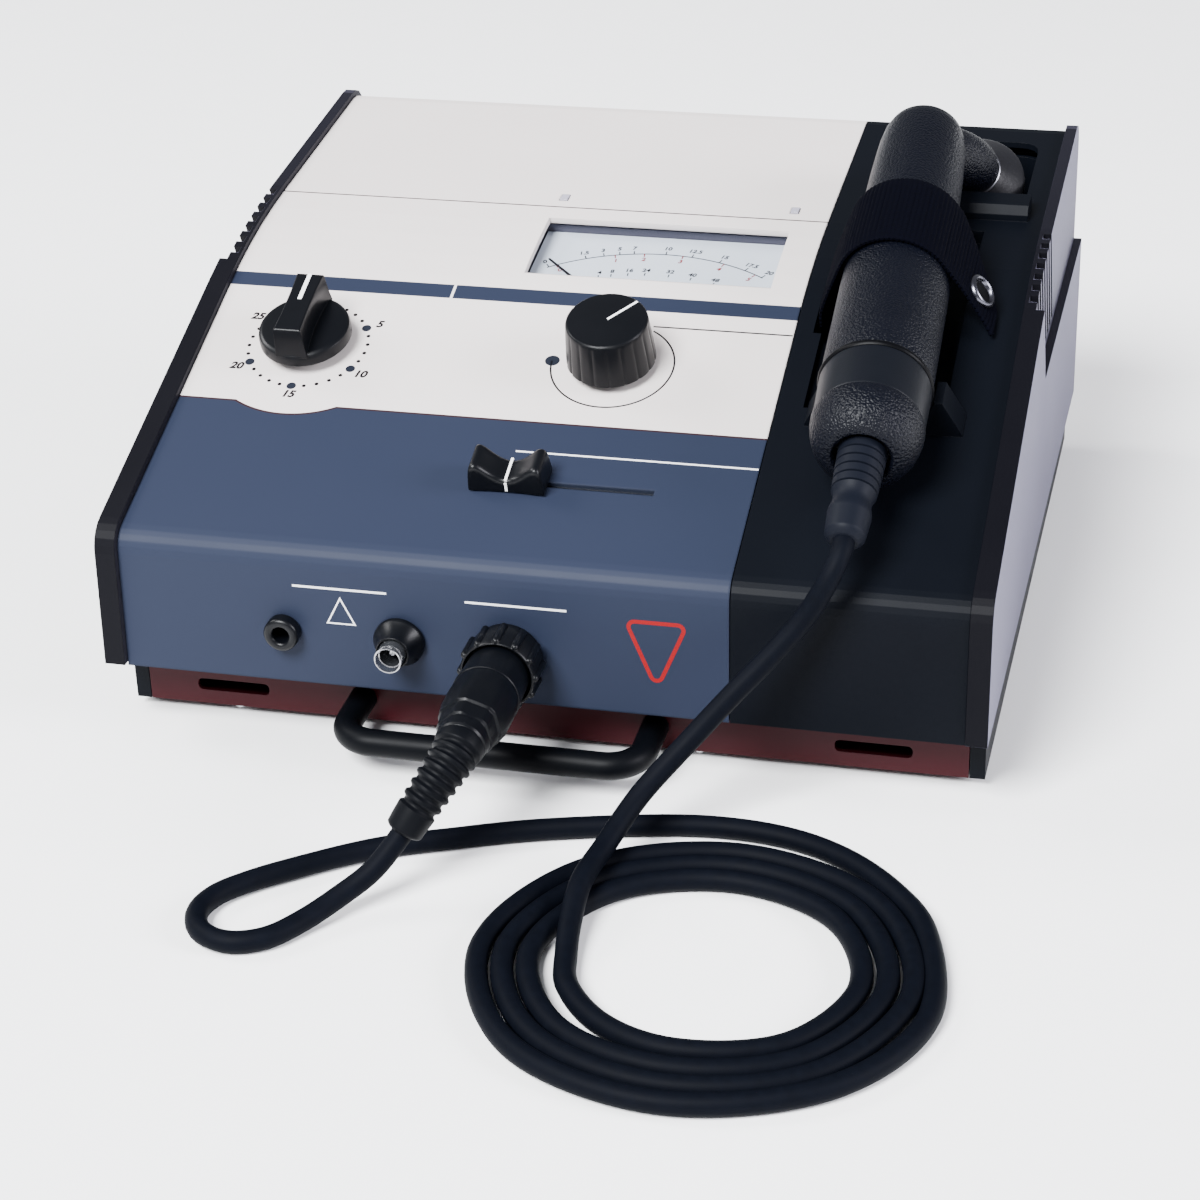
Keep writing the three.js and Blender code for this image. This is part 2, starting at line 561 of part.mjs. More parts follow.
piece('strap', cut(
  raise(outline(strapBand), -STRAP.width / 2, STRAP.width / 2),
  strapTaper.rotateX(-Math.PI / 2),
), webbing, strapGroup);
const [flapEnd, flapTop] = strapLine;
const flapTurn = Math.atan2(flapEnd[0] - flapTop[0], flapTop[1] - flapEnd[1]);
const STUD = { down: 20, across: 9, lift: STRAP.thickness / 2 + 0.3 };
const stud = lathe([[0, 0], [5.5, 0], [5.5, 1.2], [4.5, 2], [0, 2]], 20);
piece(
  'strap_stud',
  stud.rotateY(Math.PI / 2).rotateZ(flapTurn),
  steel,
  strapGroup,
  flapTop[0] + STUD.down * Math.sin(flapTurn) + STUD.lift * Math.cos(flapTurn),
  flapTop[1] - STUD.down * Math.cos(flapTurn) + STUD.lift * Math.sin(flapTurn),
  STUD.across,
);

// Inside: mains transformer, circuit board on the chassis posts, and the output stage's heat sink.
piece('transformer_core', cut(
  box(-31, 31, -17, 17, 0, 52),
  box(-21, -11, -20, 20, 10, 42),
  box(11, 21, -20, 20, 10, 42),
), steel, unit, -94, 240, 2.3);
piece('transformer_coil', cut(
  box(-20.6, 20.6, -26, 26, 10.4, 41.6),
  box(-11.4, 11.4, -17.4, 17.4, 0, 60),
), copper, unit, -94, 240, 2.3);
piece('circuit_board', box(-40, 130, 60, 200, 10, 11.6), boardGreen);
const FINS = { count: 5, pitch: 16, thick: 3, base: 5, height: 40, length: 60 };
const fins = Array.from({ length: FINS.count }, (_, i) => {
  const right = (i + 1) * FINS.pitch;
  return box(right - FINS.thick, right, -FINS.length, 0, 0, FINS.height);
});
const finBase = box(0, FINS.count * FINS.pitch, -FINS.length, 0, 0, FINS.base);
piece('heat_sink', join(finBase, ...fins), steel, unit, 20, 290, 12);

// Applicator cord: down from the boot, over the coil and into it, round, and across to the plug.
const plugExit = bootCurve.getTangent(1);
const dropCurve = new THREE.CatmullRomCurve3([
  BOOT_END.clone().addScaledVector(bootAxis, 0.35),
  BOOT_END.clone().addScaledVector(bootAxis, 4.5),
  new THREE.Vector3(111.5, -9.5, 92), new THREE.Vector3(103, -12, 76), new THREE.Vector3(91.5, -17.5, 62),
  new THREE.Vector3(79, -25, 49), new THREE.Vector3(66, -34, 35),
  new THREE.Vector3(51, -50, 20), new THREE.Vector3(43, -70, 11), new THREE.Vector3(39.3, -90, 8.6),
  new THREE.Vector3(39.6, -107, 4), new THREE.Vector3(41.6, -122, 0.4), new THREE.Vector3(46, -138, 0),
]);
const tailCurve = new THREE.CatmullRomCurve3([
  new THREE.Vector3(156, -84, 0), new THREE.Vector3(144.5, -65, 0), new THREE.Vector3(128, -49.5, 0),
  new THREE.Vector3(111, -40, 0), new THREE.Vector3(94.6, -35.6, 0), new THREE.Vector3(77.8, -34.6, 0),
  new THREE.Vector3(61.6, -36.1, 0), new THREE.Vector3(37.2, -41.5, 0), new THREE.Vector3(9.5, -49.7, 0),
  new THREE.Vector3(-13.7, -59, 0), new THREE.Vector3(-40.1, -71, 0), new THREE.Vector3(-62.9, -87, 0),
  new THREE.Vector3(-77.5, -101, 0), new THREE.Vector3(-85.4, -111, 0), new THREE.Vector3(-87.6, -121, 0),
  new THREE.Vector3(-82.4, -130, 0), new THREE.Vector3(-72.5, -133.7, 0), new THREE.Vector3(-61.5, -129.5, 0),
  new THREE.Vector3(-52, -119, 0.6), new THREE.Vector3(-42, -108, 4), new THREE.Vector3(-33, -99.5, 9.5),
  plugBootEnd.clone().addScaledVector(plugExit, 4.5),
  plugBootEnd.clone().addScaledVector(plugExit, 0.35),
]);
const coilRing = lathe([
  [COIL.inner, -CORD_RADIUS], [COIL.outer, -CORD_RADIUS], [COIL.outer, CORD_RADIUS],
  [COIL.inner, CORD_RADIUS], [COIL.inner, -CORD_RADIUS],
], 48).translate(COIL.x, COIL.y, 0);
const groove = CORD_RADIUS + 0.4;
piece('cord_drop', tube(dropCurve, CORD_RADIUS, 22, 10), cordRubber);
piece('cord_coil', cut(coilRing, tube(dropCurve, groove, 22, 10), tube(tailCurve, groove, 46, 10)), cordRubber);
piece('cord_tail', tube(tailCurve, CORD_RADIUS, 46, 10), cordRubber);

export default unit;
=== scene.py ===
# Desktop ultrasound therapy unit: painted sheet-metal console with moulded black ends, an applicator
# held in its tray by an elastic strap, and the coiled applicator cord plugged into the front.
import math

import bmesh
import bpy
from mathutils import Matrix, Vector


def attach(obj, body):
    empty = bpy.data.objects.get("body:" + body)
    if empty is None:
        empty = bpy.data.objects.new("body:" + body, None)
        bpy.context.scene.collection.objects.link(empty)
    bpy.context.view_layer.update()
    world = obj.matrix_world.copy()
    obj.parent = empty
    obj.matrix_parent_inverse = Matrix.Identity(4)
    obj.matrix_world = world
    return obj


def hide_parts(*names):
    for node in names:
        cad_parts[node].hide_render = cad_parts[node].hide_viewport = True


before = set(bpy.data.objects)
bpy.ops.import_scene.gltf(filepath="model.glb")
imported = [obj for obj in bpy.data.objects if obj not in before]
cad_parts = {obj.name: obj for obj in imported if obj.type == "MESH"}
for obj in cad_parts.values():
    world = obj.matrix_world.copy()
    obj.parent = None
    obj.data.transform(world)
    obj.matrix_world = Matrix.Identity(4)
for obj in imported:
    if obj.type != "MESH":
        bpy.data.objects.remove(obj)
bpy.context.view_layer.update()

# ---- Camera
# Stands in front and a little to the right, looking down on the controls.
camera = bpy.data.objects.new("camera", bpy.data.cameras.new("camera"))
camera.location = (0.25642, -1.04725, 0.56999)
camera.rotation_euler = [math.radians(turn) for turn in (61.733, 1.685, 13.518)]
camera.data.lens = 87.475
camera.data.clip_start, camera.data.clip_end = 0.05, 60
bpy.context.collection.objects.link(camera)
bpy.context.scene.camera = camera


# ---- Applicator cord
# Eight millimetre rubber-sheathed lead, about two metres long. It drops out of the applicator's boot,
# lies on the table in a flat coil, swings round behind it and comes back to the connector's boot.
def spot(x, y, z):
    """A place in millimetres, measured from the table edge of the front panel's fold, as a frame point."""
    return Vector((x, y - 151.5, z + 4.0)) / 1000


def smooth_line(points, step):
    """Even points, a step apart, along a smooth curve through the given ones."""
    ends = [2 * points[0] - points[1], *points, 2 * points[-1] - points[-2]]
    fine = []
    for a, b, c, d in zip(ends, ends[1:], ends[2:], ends[3:]):
        t1 = max((b - a).length, 1e-5) ** 0.5
        t2 = t1 + max((c - b).length, 1e-5) ** 0.5
        t3 = t2 + max((d - c).length, 1e-5) ** 0.5
        for k in range(24):
            t = t1 + (t2 - t1) * k / 24
            ab = a.lerp(b, t / t1)
            bc = b.lerp(c, (t - t1) / (t2 - t1))
            cd = c.lerp(d, (t - t2) / (t3 - t2))
            abc = ab.lerp(bc, t / t2)
            bcd = bc.lerp(cd, (t - t1) / (t3 - t1))
            fine.append(abc.lerp(bcd, (t - t1) / (t2 - t1)))
    fine.append(points[-1].copy())
    lengths = [0.0]
    for a, b in zip(fine, fine[1:]):
        lengths.append(lengths[-1] + (b - a).length)
    count = max(2, round(lengths[-1] / step))
    even, k = [], 0
    for i in range(count + 1):
        target = lengths[-1] * i / count
        while k < len(fine) - 2 and lengths[k + 1] < target:
            k += 1
        gap = lengths[k + 1] - lengths[k]
        even.append(fine[k].lerp(fine[k + 1], (target - lengths[k]) / gap if gap else 0))
    return even


def surface(name, colour, rough, grain=0.0006, depth=0.00003, tone=0.1, metal=0.0,
            blotch=45, rough_spread=0.06, edge=0.0004, coat=0.0, pattern="noise", gleam=0.25):
    """A moulded, painted or metal skin: colour and gloss wander a little, and it has a fine grain."""
    material = bpy.data.materials.new(name)
    material.use_nodes = True
    nodes, links = material.node_tree.nodes, material.node_tree.links
    shader = nodes["Principled BSDF"]
    shader.inputs["Metallic"].default_value = metal
    shader.inputs["Coat Weight"].default_value = coat
    shader.inputs["Coat Roughness"].default_value = 0.12
    shader.inputs["Specular IOR Level"].default_value = gleam
    where = nodes.new("ShaderNodeTexCoord")
    patches = nodes.new("ShaderNodeTexNoise")
    patches.inputs["Scale"].default_value = blotch
    patches.inputs["Detail"].default_value = 5
    links.new(where.outputs["Object"], patches.inputs["Vector"])
    tint = nodes.new("ShaderNodeMix")
    tint.data_type = "RGBA"
    tint.inputs["A"].default_value = [*(c * (1 - tone) for c in colour), 1]
    tint.inputs["B"].default_value = [*(min(1, c * (1 + tone)) for c in colour), 1]
    links.new(patches.outputs["Fac"], tint.inputs["Factor"])
    links.new(tint.outputs["Result"], shader.inputs["Base Color"])
    gloss = nodes.new("ShaderNodeMapRange")
    gloss.inputs["To Min"].default_value = max(0.03, rough - rough_spread)
    gloss.inputs["To Max"].default_value = min(1, rough + rough_spread)
    links.new(patches.outputs["Fac"], gloss.inputs["Value"])
    links.new(gloss.outputs["Result"], shader.inputs["Roughness"])
    if pattern == "pebble":
        skin = nodes.new("ShaderNodeTexVoronoi")
        skin.feature = "SMOOTH_F1"
        skin.inputs["Smoothness"].default_value = 0.6
        height = skin.outputs["Distance"]
    else:
        skin = nodes.new("ShaderNodeTexNoise")
        skin.inputs["Detail"].default_value = 3
        height = skin.outputs["Fac"]
    skin.inputs["Scale"].default_value = 1 / grain
    links.new(where.outputs["Object"], skin.inputs["Vector"])
    bump = nodes.new("ShaderNodeBump")
    bump.inputs["Distance"].default_value = depth
    bump.inputs["Strength"].default_value = 1
    bump.invert = pattern == "pebble"
    links.new(height, bump.inputs["Height"])
    if edge:
        soft_edge = nodes.new("ShaderNodeBevel")
        soft_edge.inputs["Radius"].default_value = edge
        links.new(soft_edge.outputs["Normal"], bump.inputs["Normal"])
    links.new(bump.outputs["Normal"], shader.inputs["Normal"])
    return material


CORD_RADIUS = 4.0
COIL_MIDDLE = (87.5, -121.0)
# Angle in degrees and distance from the coil's middle, from the inside strand to the outside one.
COIL_TURNS = [
    (202, 45.0), (235, 43.8), (270, 44.4), (315, 49.2), (360, 53.0), (405, 53.6), (450, 53.2),
    (495, 55.8), (540, 58.3), (585, 56.2), (630, 53.9), (675, 58.2), (720, 61.8), (765, 62.4),
    (810, 62.0), (855, 64.4), (900, 66.9), (945, 64.8), (990, 62.6), (1035, 66.8), (1080, 70.4),
    (1125, 71.0), (1170, 70.6), (1215, 73.0), (1260, 75.5), (1305, 73.6), (1350, 71.4), (1395, 75.2),
    (1430, 78.2),
]
drop_points = [
    (114.33, 1.8, 101.35), (114.22, -4.1, 98.6), (111.5, -9.5, 92), (103, -12, 76), (91.5, -17.5, 62),
    (79, -25, 49), (66, -34, 35), (51, -50, 20), (43, -70, 11), (39.3, -90, 8.6), (39.6, -107, 4),
    (41.6, -122, 0.4),
]
coil_points = [
    (COIL_MIDDLE[0] + out * math.cos(math.radians(turn)), COIL_MIDDLE[1] + out * math.sin(math.radians(turn)), 0)
    for turn, out in COIL_TURNS
]
tail_points = [
    (156.4, -83, 0), (144.5, -65, 0), (128, -49.5, 0), (111, -40, 0), (94.6, -35.6, 0), (77.8, -34.6, 0),
    (61.6, -36.1, 0), (37.2, -41.5, 0), (9.5, -49.7, 0), (-13.7, -59, 0), (-40.1, -71, 0), (-62.9, -87, 0),
    (-78.9, -100.6, 0), (-87, -110.6, 0), (-89.5, -121.6, 0), (-84.6, -132, 0), (-73.4, -136.4, 0),
    (-61.5, -132, 0), (-51.8, -120.2, 0.6), (-42, -108, 4), (-33, -99.5, 9.5), (-26.2, -92.4, 17.4),
    (-23.2, -88.6, 21.6),
]
cord_line = smooth_line([spot(*p) for p in drop_points + coil_points + tail_points], 0.003)
cord_shape = bpy.data.curves.new("applicator_cord", "CURVE")
cord_shape.dimensions = "3D"
cord_shape.bevel_depth = CORD_RADIUS / 1000
cord_shape.bevel_resolution = 5
cord_shape.use_fill_caps = True
strand = cord_shape.splines.new("POLY")
strand.points.add(len(cord_line) - 1)
for point, place in zip(strand.points, cord_line):
    point.co = (*place, 1)
strand.use_smooth = True
cord = bpy.data.objects.new("applicator_cord", cord_shape)
bpy.context.collection.objects.link(cord)
cord.data.materials.append(
    surface("cord_sheath", (0.0013, 0.0018, 0.0036), 0.6, grain=0.0005, depth=0.00003, blotch=260, tone=0.3, edge=0,
            gleam=0.035)
)
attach(cord, "console")
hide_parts("cord_drop", "cord_coil", "cord_tail")

# ---- Table and studio light
# A pale sheet of paper under the unit, a large soft light over the left shoulder, another on the right,
# and a white room.
paper = bpy.data.meshes.new("paper")
paper.from_pydata([(-9, -9, 0), (9, -9, 0), (9, 9, 0), (-9, 9, 0)], [], [(0, 1, 2, 3)])
floor = bpy.data.objects.new("floor", paper)
bpy.context.collection.objects.link(floor)
floor.data.materials.append(surface("paper", (0.95, 0.95, 0.95), 0.8, tone=0.01, edge=0))


def soft_light(name, place, aim, size, watts, colour=(1, 1, 1)):
    lamp = bpy.data.lights.new(name, "AREA")
    lamp.shape = "DISK"
    lamp.size = size
    lamp.energy = watts
    lamp.color = colour
    light = bpy.data.objects.new(name, lamp)
    light.location = place
    light.rotation_mode = "QUATERNION"
    light.rotation_quaternion = (Vector(aim) - Vector(place)).to_track_quat("-Z", "Y")
    bpy.context.collection.objects.link(light)


soft_light("key_light", (-1.0, -2.6, 3.1), (0, 0, 0.05), 2.0, 700, (0.965, 0.98, 1))
soft_light("side_light", (2.4, -0.3, 1.2), (0, 0, 0.08), 1.2, 120, (0.94, 0.93, 1))
soft_light("left_light", (-2.4, 0.3, 2.0), (0, 0, 0.05), 1.2, 80)
room = bpy.data.worlds.new("room")
room.use_nodes = True
room.node_tree.nodes["Background"].inputs["Color"].default_value = (0.92, 0.94, 1, 1)
room.node_tree.nodes["Background"].inputs["Strength"].default_value = 0.45
bpy.context.scene.world = room


# ---- Base
# Maroon painted steel tray with two air slots in its front wall, black side rails along its bottom edges,
# four small rubber feet, and pan-head screws that hold the boards from below.
def dress(material, *nodes):
    """Gives CAD nodes their finish."""
    for name in nodes:
        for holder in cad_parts[name].material_slots:
            holder.material = material


def solid(name, points, faces, material, body="console", place=None, smooth=35, stands_for=(), slot=None):
    """A new mesh piece from points in millimetres; place turns them into frame metres."""
    mesh = bpy.data.meshes.new(name)
    place = place or Matrix.Scale(0.001, 4)
    mesh.from_pydata([place @ Vector(p) for p in points], [], faces)
    mesh.validate()
    shaper = bmesh.new()
    shaper.from_mesh(mesh)
    bmesh.ops.remove_doubles(shaper, verts=shaper.verts, dist=1e-6)
    bmesh.ops.recalc_face_normals(shaper, faces=shaper.faces)
    shaper.to_mesh(mesh)
    shaper.free()
    mesh.polygons.foreach_set("use_smooth", [True] * len(mesh.polygons))
    mesh.set_sharp_from_angle(angle=math.radians(smooth))
    piece = bpy.data.objects.new(name, mesh)
    bpy.context.collection.objects.link(piece)
    mesh.materials.append(material)
    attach(piece, body)
    if stands_for:
        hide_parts(*stands_for)
    return piece


def lathe_net(profile, sides=64, turn=0.0):
    """Points and faces of a turned shape from (radius, height) pairs, closed at both ends."""
    points, faces = [], []
    for out, up in profile:
        for i in range(sides):
            a = turn + 2 * math.pi * i / sides
            points.append((out * math.cos(a), out * math.sin(a), up))
    for j in range(len(profile) - 1):
        for i in range(sides):
            k = (i + 1) % sides
            faces.append((j * sides + i, j * sides + k, (j + 1) * sides + k, (j + 1) * sides + i))
    faces.append(tuple(range(sides))[::-1])
    faces.append(tuple((len(profile) - 1) * sides + i for i in range(sides)))
    return points, faces


def joined(*nets):
    """Several nets of points and faces as one."""
    points, faces = [], []
    for more, sides in nets:
        start = len(points)
        points += more
        faces += [tuple(i + start for i in side) for side in sides]
    return points, faces


def moved(net, x=0.0, y=0.0, z=0.0):
    return [(px + x, py + y, pz + z) for px, py, pz in net[0]], net[1]


TABLE = Matrix.Translation(spot(0, 0, 0)) @ Matrix.Scale(0.001, 4)
maroon = surface(
    "maroon_paint", (0.026, 0.0025, 0.0045), 0.35, grain=0.0004, depth=0.000012, blotch=34, tone=0.2, gleam=0.1
)
black_plastic = surface("black_moulding", (0.0014, 0.002, 0.0036), 0.5, grain=0.00055, depth=0.00004, blotch=28,
                        gleam=0.06)
foot_rubber = surface("foot_rubber", (0.012, 0.012, 0.014), 0.75, blotch=120)
bright_steel = surface("plated_steel", (0.6, 0.6, 0.62), 0.28, grain=0.0003, depth=0.00001, metal=1, blotch=150)
dress(maroon, "base_chassis")
dress(black_plastic, "side_rail_left", "side_rail_right")
FOOT_PROFILE = [(0, -4), (5.6, -4), (6.1, -3.8), (6.4, -3.3), (6.5, -2.4), (6.3, -0.5), (5.9, -0.3), (0, -0.3)]
for number, (x, y) in enumerate([(-141, 27), (141, 27), (-141, 298), (141, 298)], 1):
    solid(f"foot_pad_{number}", *moved(lathe_net(FOOT_PROFILE, 40), x, y), foot_rubber, place=TABLE,
          stands_for=[f"foot_{number}"], slot="rubber")
screw_head = [(0, -2.1), (1.1, -2.1), (2.1, -1.7), (2.7, -0.9), (2.8, 0.3), (0, 0.3)]
for number, (x, y) in enumerate([(-124, 19), (58, 19), (-60, 304), (60, 304)], 1):
    solid(f"base_screw_{number}", *moved(lathe_net(screw_head, 28), x, y), bright_steel, place=TABLE, slot="steel")


# ---- Carry handle
# One bent bar in a matt black plastic sleeve, clamped to the front of the tray by two nuts behind it.
def swept_net(line, widths, sides=28):
    """Points and faces of a round bar along a line, with its own radius at each point."""
    points, faces = [], []
    ahead = (line[1] - line[0]).normalized()
    side = ahead.orthogonal().normalized()
    for i, (place, out) in enumerate(zip(line, widths)):
        now = (line[min(i + 1, len(line) - 1)] - line[max(i - 1, 0)]).normalized()
        side = ahead.rotation_difference(now) @ side
        side = (side - now * side.dot(now)).normalized()
        up = now.cross(side)
        ahead = now
        for k in range(sides):
            a = 2 * math.pi * k / sides
            points.append(place + (side * math.cos(a) + up * math.sin(a)) * out)
    for j in range(len(line) - 1):
        for i in range(sides):
            k = (i + 1) % sides
            faces.append((j * sides + i, j * sides + k, (j + 1) * sides + k, (j + 1) * sides + i))
    faces.append(tuple(range(sides))[::-1])
    faces.append(tuple((len(line) - 1) * sides + i for i in range(sides)))
    return points, faces


HANDLE_LEFT, HANDLE_RIGHT, HANDLE_FRONT, HANDLE_UP, HANDLE_BEND = -72, 42, -16.8, 9.4, 13
handle_line = [Vector((HANDLE_LEFT, 14.7, HANDLE_UP)), Vector((HANDLE_LEFT, 6, HANDLE_UP))]
for corner_x, first in ((HANDLE_LEFT + HANDLE_BEND, 180), (HANDLE_RIGHT - HANDLE_BEND, 270)):
    for step in range(13):
        a = math.radians(first + 7.5 * step)
        handle_line.append(Vector((
            corner_x + HANDLE_BEND * math.cos(a), HANDLE_FRONT + HANDLE_BEND + HANDLE_BEND * math.sin(a), HANDLE_UP
        )))
handle_line += [Vector((HANDLE_RIGHT, 6, HANDLE_UP)), Vector((HANDLE_RIGHT, 14.7, HANDLE_UP))]
handle_black = surface("handle_black", (0.001, 0.0013, 0.0021), 0.46, grain=0.0009, depth=0.00003, blotch=60, edge=0,
                       gleam=0.06)
solid("handle_bar", *swept_net(handle_line, [5.2] * len(handle_line), 36), handle_black, place=TABLE,
      stands_for=["carry_handle"], slot="black_plastic")
dress(bright_steel, "handle_nut_left", "handle_nut_right")


# ---- Control panel
# One sheet of steel bent over the top, sprayed off-white, with slate-blue areas, a border line, a label
# band and fine rules printed on it.
def panel_paint():
    material = surface("panel_paint", (0.59, 0.545, 0.53), 0.52, grain=0.0005, depth=0.00002, tone=0.02, blotch=25,
                       edge=0.0012, gleam=0.1)
    nodes, links = material.node_tree.nodes, material.node_tree.links
    shader = nodes["Principled BSDF"]

    def sums(how, a, b=0.0):
        node = nodes.new("ShaderNodeMath")
        node.operation = how
        for socket, value in zip(node.inputs, (a, b)):
            if isinstance(value, float):
                socket.default_value = value
            else:
                links.new(value, socket)
        return node.outputs[0]

    def rise(value, low, high):
        node = nodes.new("ShaderNodeMapRange")
        node.interpolation_type = "SMOOTHSTEP"
        node.inputs["From Min"].default_value, node.inputs["From Max"].default_value = low, high
        links.new(value, node.inputs["Value"])
        return node.outputs["Result"]

    def over(under, mask, colour):
        node = nodes.new("ShaderNodeMix")
        node.data_type = "RGBA"
        node.inputs["B"].default_value = (*colour, 1)
        links.new(mask, node.inputs["Factor"])
        links.new(under, node.inputs["A"])
        return node.outputs["Result"]

    def stripe(value, half, soft=0.08):
        return sums("SUBTRACT", 1.0, rise(sums("ABSOLUTE", value), half - soft, half + soft))

    where = nodes.new("ShaderNodeTexCoord")
    parts = nodes.new("ShaderNodeSeparateXYZ")
    links.new(where.outputs["Object"], parts.inputs["Vector"])
    across = sums("MULTIPLY", parts.outputs["X"], 1000.0)
    back = sums("ADD", sums("MULTIPLY", parts.outputs["Y"], 1000.0), 151.5)
    # The border dips in a bow concentric with the timer's scale.
    up_slope = sums("DIVIDE", back, 0.948)
    bow_x = sums("POWER", sums("ADD", across, 115.6), 2.0)
    bow_y = sums("POWER", sums("SUBTRACT", up_slope, 111.3), 2.0)
    inside_bow = sums("SUBTRACT", 39.8, sums("SQRT", sums("ADD", bow_x, bow_y)))
    from_border = sums("MAXIMUM", sums("SUBTRACT", up_slope, 77.2), inside_bow)
    slate_area = sums("SUBTRACT", 1.0, rise(from_border, -0.08, 0.08))
    from_band = sums("SUBTRACT", back, 140.8)
    band = stripe(from_band, 4.0)
    divider = sums("MULTIPLY", band, stripe(sums("ADD", across, 66.3), 0.55))
    rule = stripe(sums("SUBTRACT", back, 207.0), 0.42)
    slate, brown = (0.0125, 0.0165, 0.0315), (0.02, 0.008, 0.01)
    colour = shader.inputs["Base Color"].links[0].from_socket
    colour = over(colour, sums("MAXIMUM", slate_area, band), slate)
    colour = over(colour, stripe(from_border, 0.42), brown)
    colour = over(colour, rule, brown)
    colour = over(colour, divider, (0.6, 0.58, 0.58))
    links.new(colour, shader.inputs["Base Color"])
    return material


dress(panel_paint(), "control_panel")


# ---- Printed scales
# Screen-printed marks on the panel: the minute dots and figures round the timer, the intensity arc with
# its end dot, the rule over the slider, and the underlines and triangles on the front.
def slab(outline, low=-0.06, high=0.07):
    """A flat printed shape from an outline of (x, y) pairs."""
    n = len(outline)
    points = [(x, y, low) for x, y in outline] + [(x, y, high) for x, y in outline]
    faces = [tuple(range(n))[::-1], tuple(range(n, 2 * n))]
    faces += [(i, (i + 1) % n, n + (i + 1) % n, n + i) for i in range(n)]
    return points, faces


def dot(x, y, out, sides=24):
    return slab([
        (x + out * math.cos(2 * math.pi * i / sides), y + out * math.sin(2 * math.pi * i / sides)) for i in range(sides)
    ])


def stroke(line, width, closed=False):
    """A printed line of the given width through (x, y) pairs, mitred at its corners."""
    left, right = [], []
    n = len(line)
    for i, (x, y) in enumerate(line):
        ax, ay = line[(i - 1) % n] if closed or i else line[0]
        bx, by = line[(i + 1) % n] if closed or i < n - 1 else line[-1]
        turn_in = Vector((x - ax, y - ay)).normalized() if (x, y) != (ax, ay) else Vector((bx - x, by - y)).normalized()
        turn_out = Vector((bx - x, by - y)).normalized() if (x, y) != (bx, by) else turn_in
        across = Vector((-(turn_in + turn_out).y, (turn_in + turn_out).x)).normalized()
        reach = width / 2 / max(0.4, across.dot(Vector((-turn_in.y, turn_in.x))))
        left.append((x + across.x * reach, y + across.y * reach))
        right.append((x - across.x * reach, y - across.y * reach))
    steps = range(n if closed else n - 1)
    return joined(*(slab([right[i], right[(i + 1) % n], left[(i + 1) % n], left[i]]) for i in steps))


def arc(x, y, out, first, last, width, steps=72):
    """A printed arc from the first angle to the last, in degrees counter-clockwise from the right."""
    turns = [math.radians(first + (last - first) * i / steps) for i in range(steps + 1)]
    return stroke([(x + out * math.cos(a), y + out * math.sin(a)) for a in turns], width)


def figure(text, x, y, height, lean=0.2, turn=0.0):
    """Printed figures with their middle at (x, y)."""
    letters = bpy.data.curves.new("figures", "FONT")
    letters.body, letters.size, letters.shear = text, height / 0.72, lean
    letters.extrude, letters.offset = 0.065, (0.2 if height > 3 else 0.085)
    letters.align_x, letters.align_y = "CENTER", "CENTER"
    holder = bpy.data.objects.new("figures", letters)
    bpy.context.collection.objects.link(holder)
    outline = holder.to_mesh()
    spin = Matrix.Translation((x, y, 0.005)) @ Matrix.Rotation(math.radians(turn), 4, "Z")
    net = [tuple(spin @ v.co) for v in outline.vertices], [tuple(p.vertices) for p in outline.polygons]
    holder.to_mesh_clear()
    bpy.data.objects.remove(holder)
    bpy.data.curves.remove(letters)
    return net


SLOPE = Matrix.Translation(spot(0, 0, 78.1)) @ Matrix.Rotation(math.radians(18.55), 4, "X") @ Matrix.Scale(0.001, 4)
FRONT = Matrix.Translation(spot(0, -1.7, 0)) @ Matrix.Rotation(math.radians(90), 4, "X") @ Matrix.Scale(0.001, 4)
# The front panel leans back three degrees, and its prints lie on that slope.
FRONT_LEAN = 3.0
ON_FRONT = (
    Matrix.Translation(spot(0, -4.07, 0)) @ Matrix.Rotation(math.radians(90 - FRONT_LEAN), 4, "X")
    @ Matrix.Scale(0.001, 4)
)
TIMER_X, TIMER_S, INTENSITY_X, INTENSITY_S = -116.35, 111.3, 6.8, 112.0
ink_black = surface("black_ink", (0.004, 0.003, 0.004), 0.5, depth=0, edge=0, gleam=0.1)
ink_slate = surface("slate_ink", (0.009, 0.011, 0.018), 0.5, depth=0, edge=0, gleam=0.1)
ink_white = surface("white_ink", (0.7, 0.7, 0.72), 0.5, tone=0.02, depth=0, edge=0)
ink_red = surface("red_ink", (0.2, 0.0045, 0.007), 0.5, tone=0.05, depth=0, edge=0, gleam=0.1)


def round_timer(minute, out):
    a = math.radians(90 - 12 * minute)
    return TIMER_X + out * math.cos(a), TIMER_S + out * math.sin(a)


minute_dots = [dot(*round_timer(m, 23.95), 0.8, 16) for m in range(1, 30) if m % 5]
figures = [figure(str(m), *round_timer(m, 29.4 if m != 15 else 28.6), 3.7) for m in (5, 10, 15, 20, 25)]
solid("timer_figures", *joined(*minute_dots, *figures), ink_black, place=SLOPE, slot="gloss_black")
solid("timer_dots", *joined(*(dot(*round_timer(m, 23.95), 1.9) for m in (5, 10, 15, 20, 25))), ink_slate,
      place=SLOPE, slot="gloss_black")
intensity_rule = [(INTENSITY_X + 11.4, INTENSITY_S + 23.4), (73.2, INTENSITY_S + 23.4)]
solid("intensity_arc", *joined(arc(INTENSITY_X, INTENSITY_S, 24, 180, 420, 0.7), stroke(intensity_rule, 0.7)),
      ink_black, place=SLOPE, slot="gloss_black")
solid("intensity_dot", *dot(INTENSITY_X - 23.9, INTENSITY_S, 2.9, 32), ink_slate, place=SLOPE, slot="gloss_black")
solid("slider_rule", *stroke([(-19.5, 60.9), (73.2, 60.9)], 0.8), ink_white, place=SLOPE, slot="panel_paint")
small_triangle = [(-78.0, 50.2), (-67.4, 50.2), (-72.7, 60.5)]
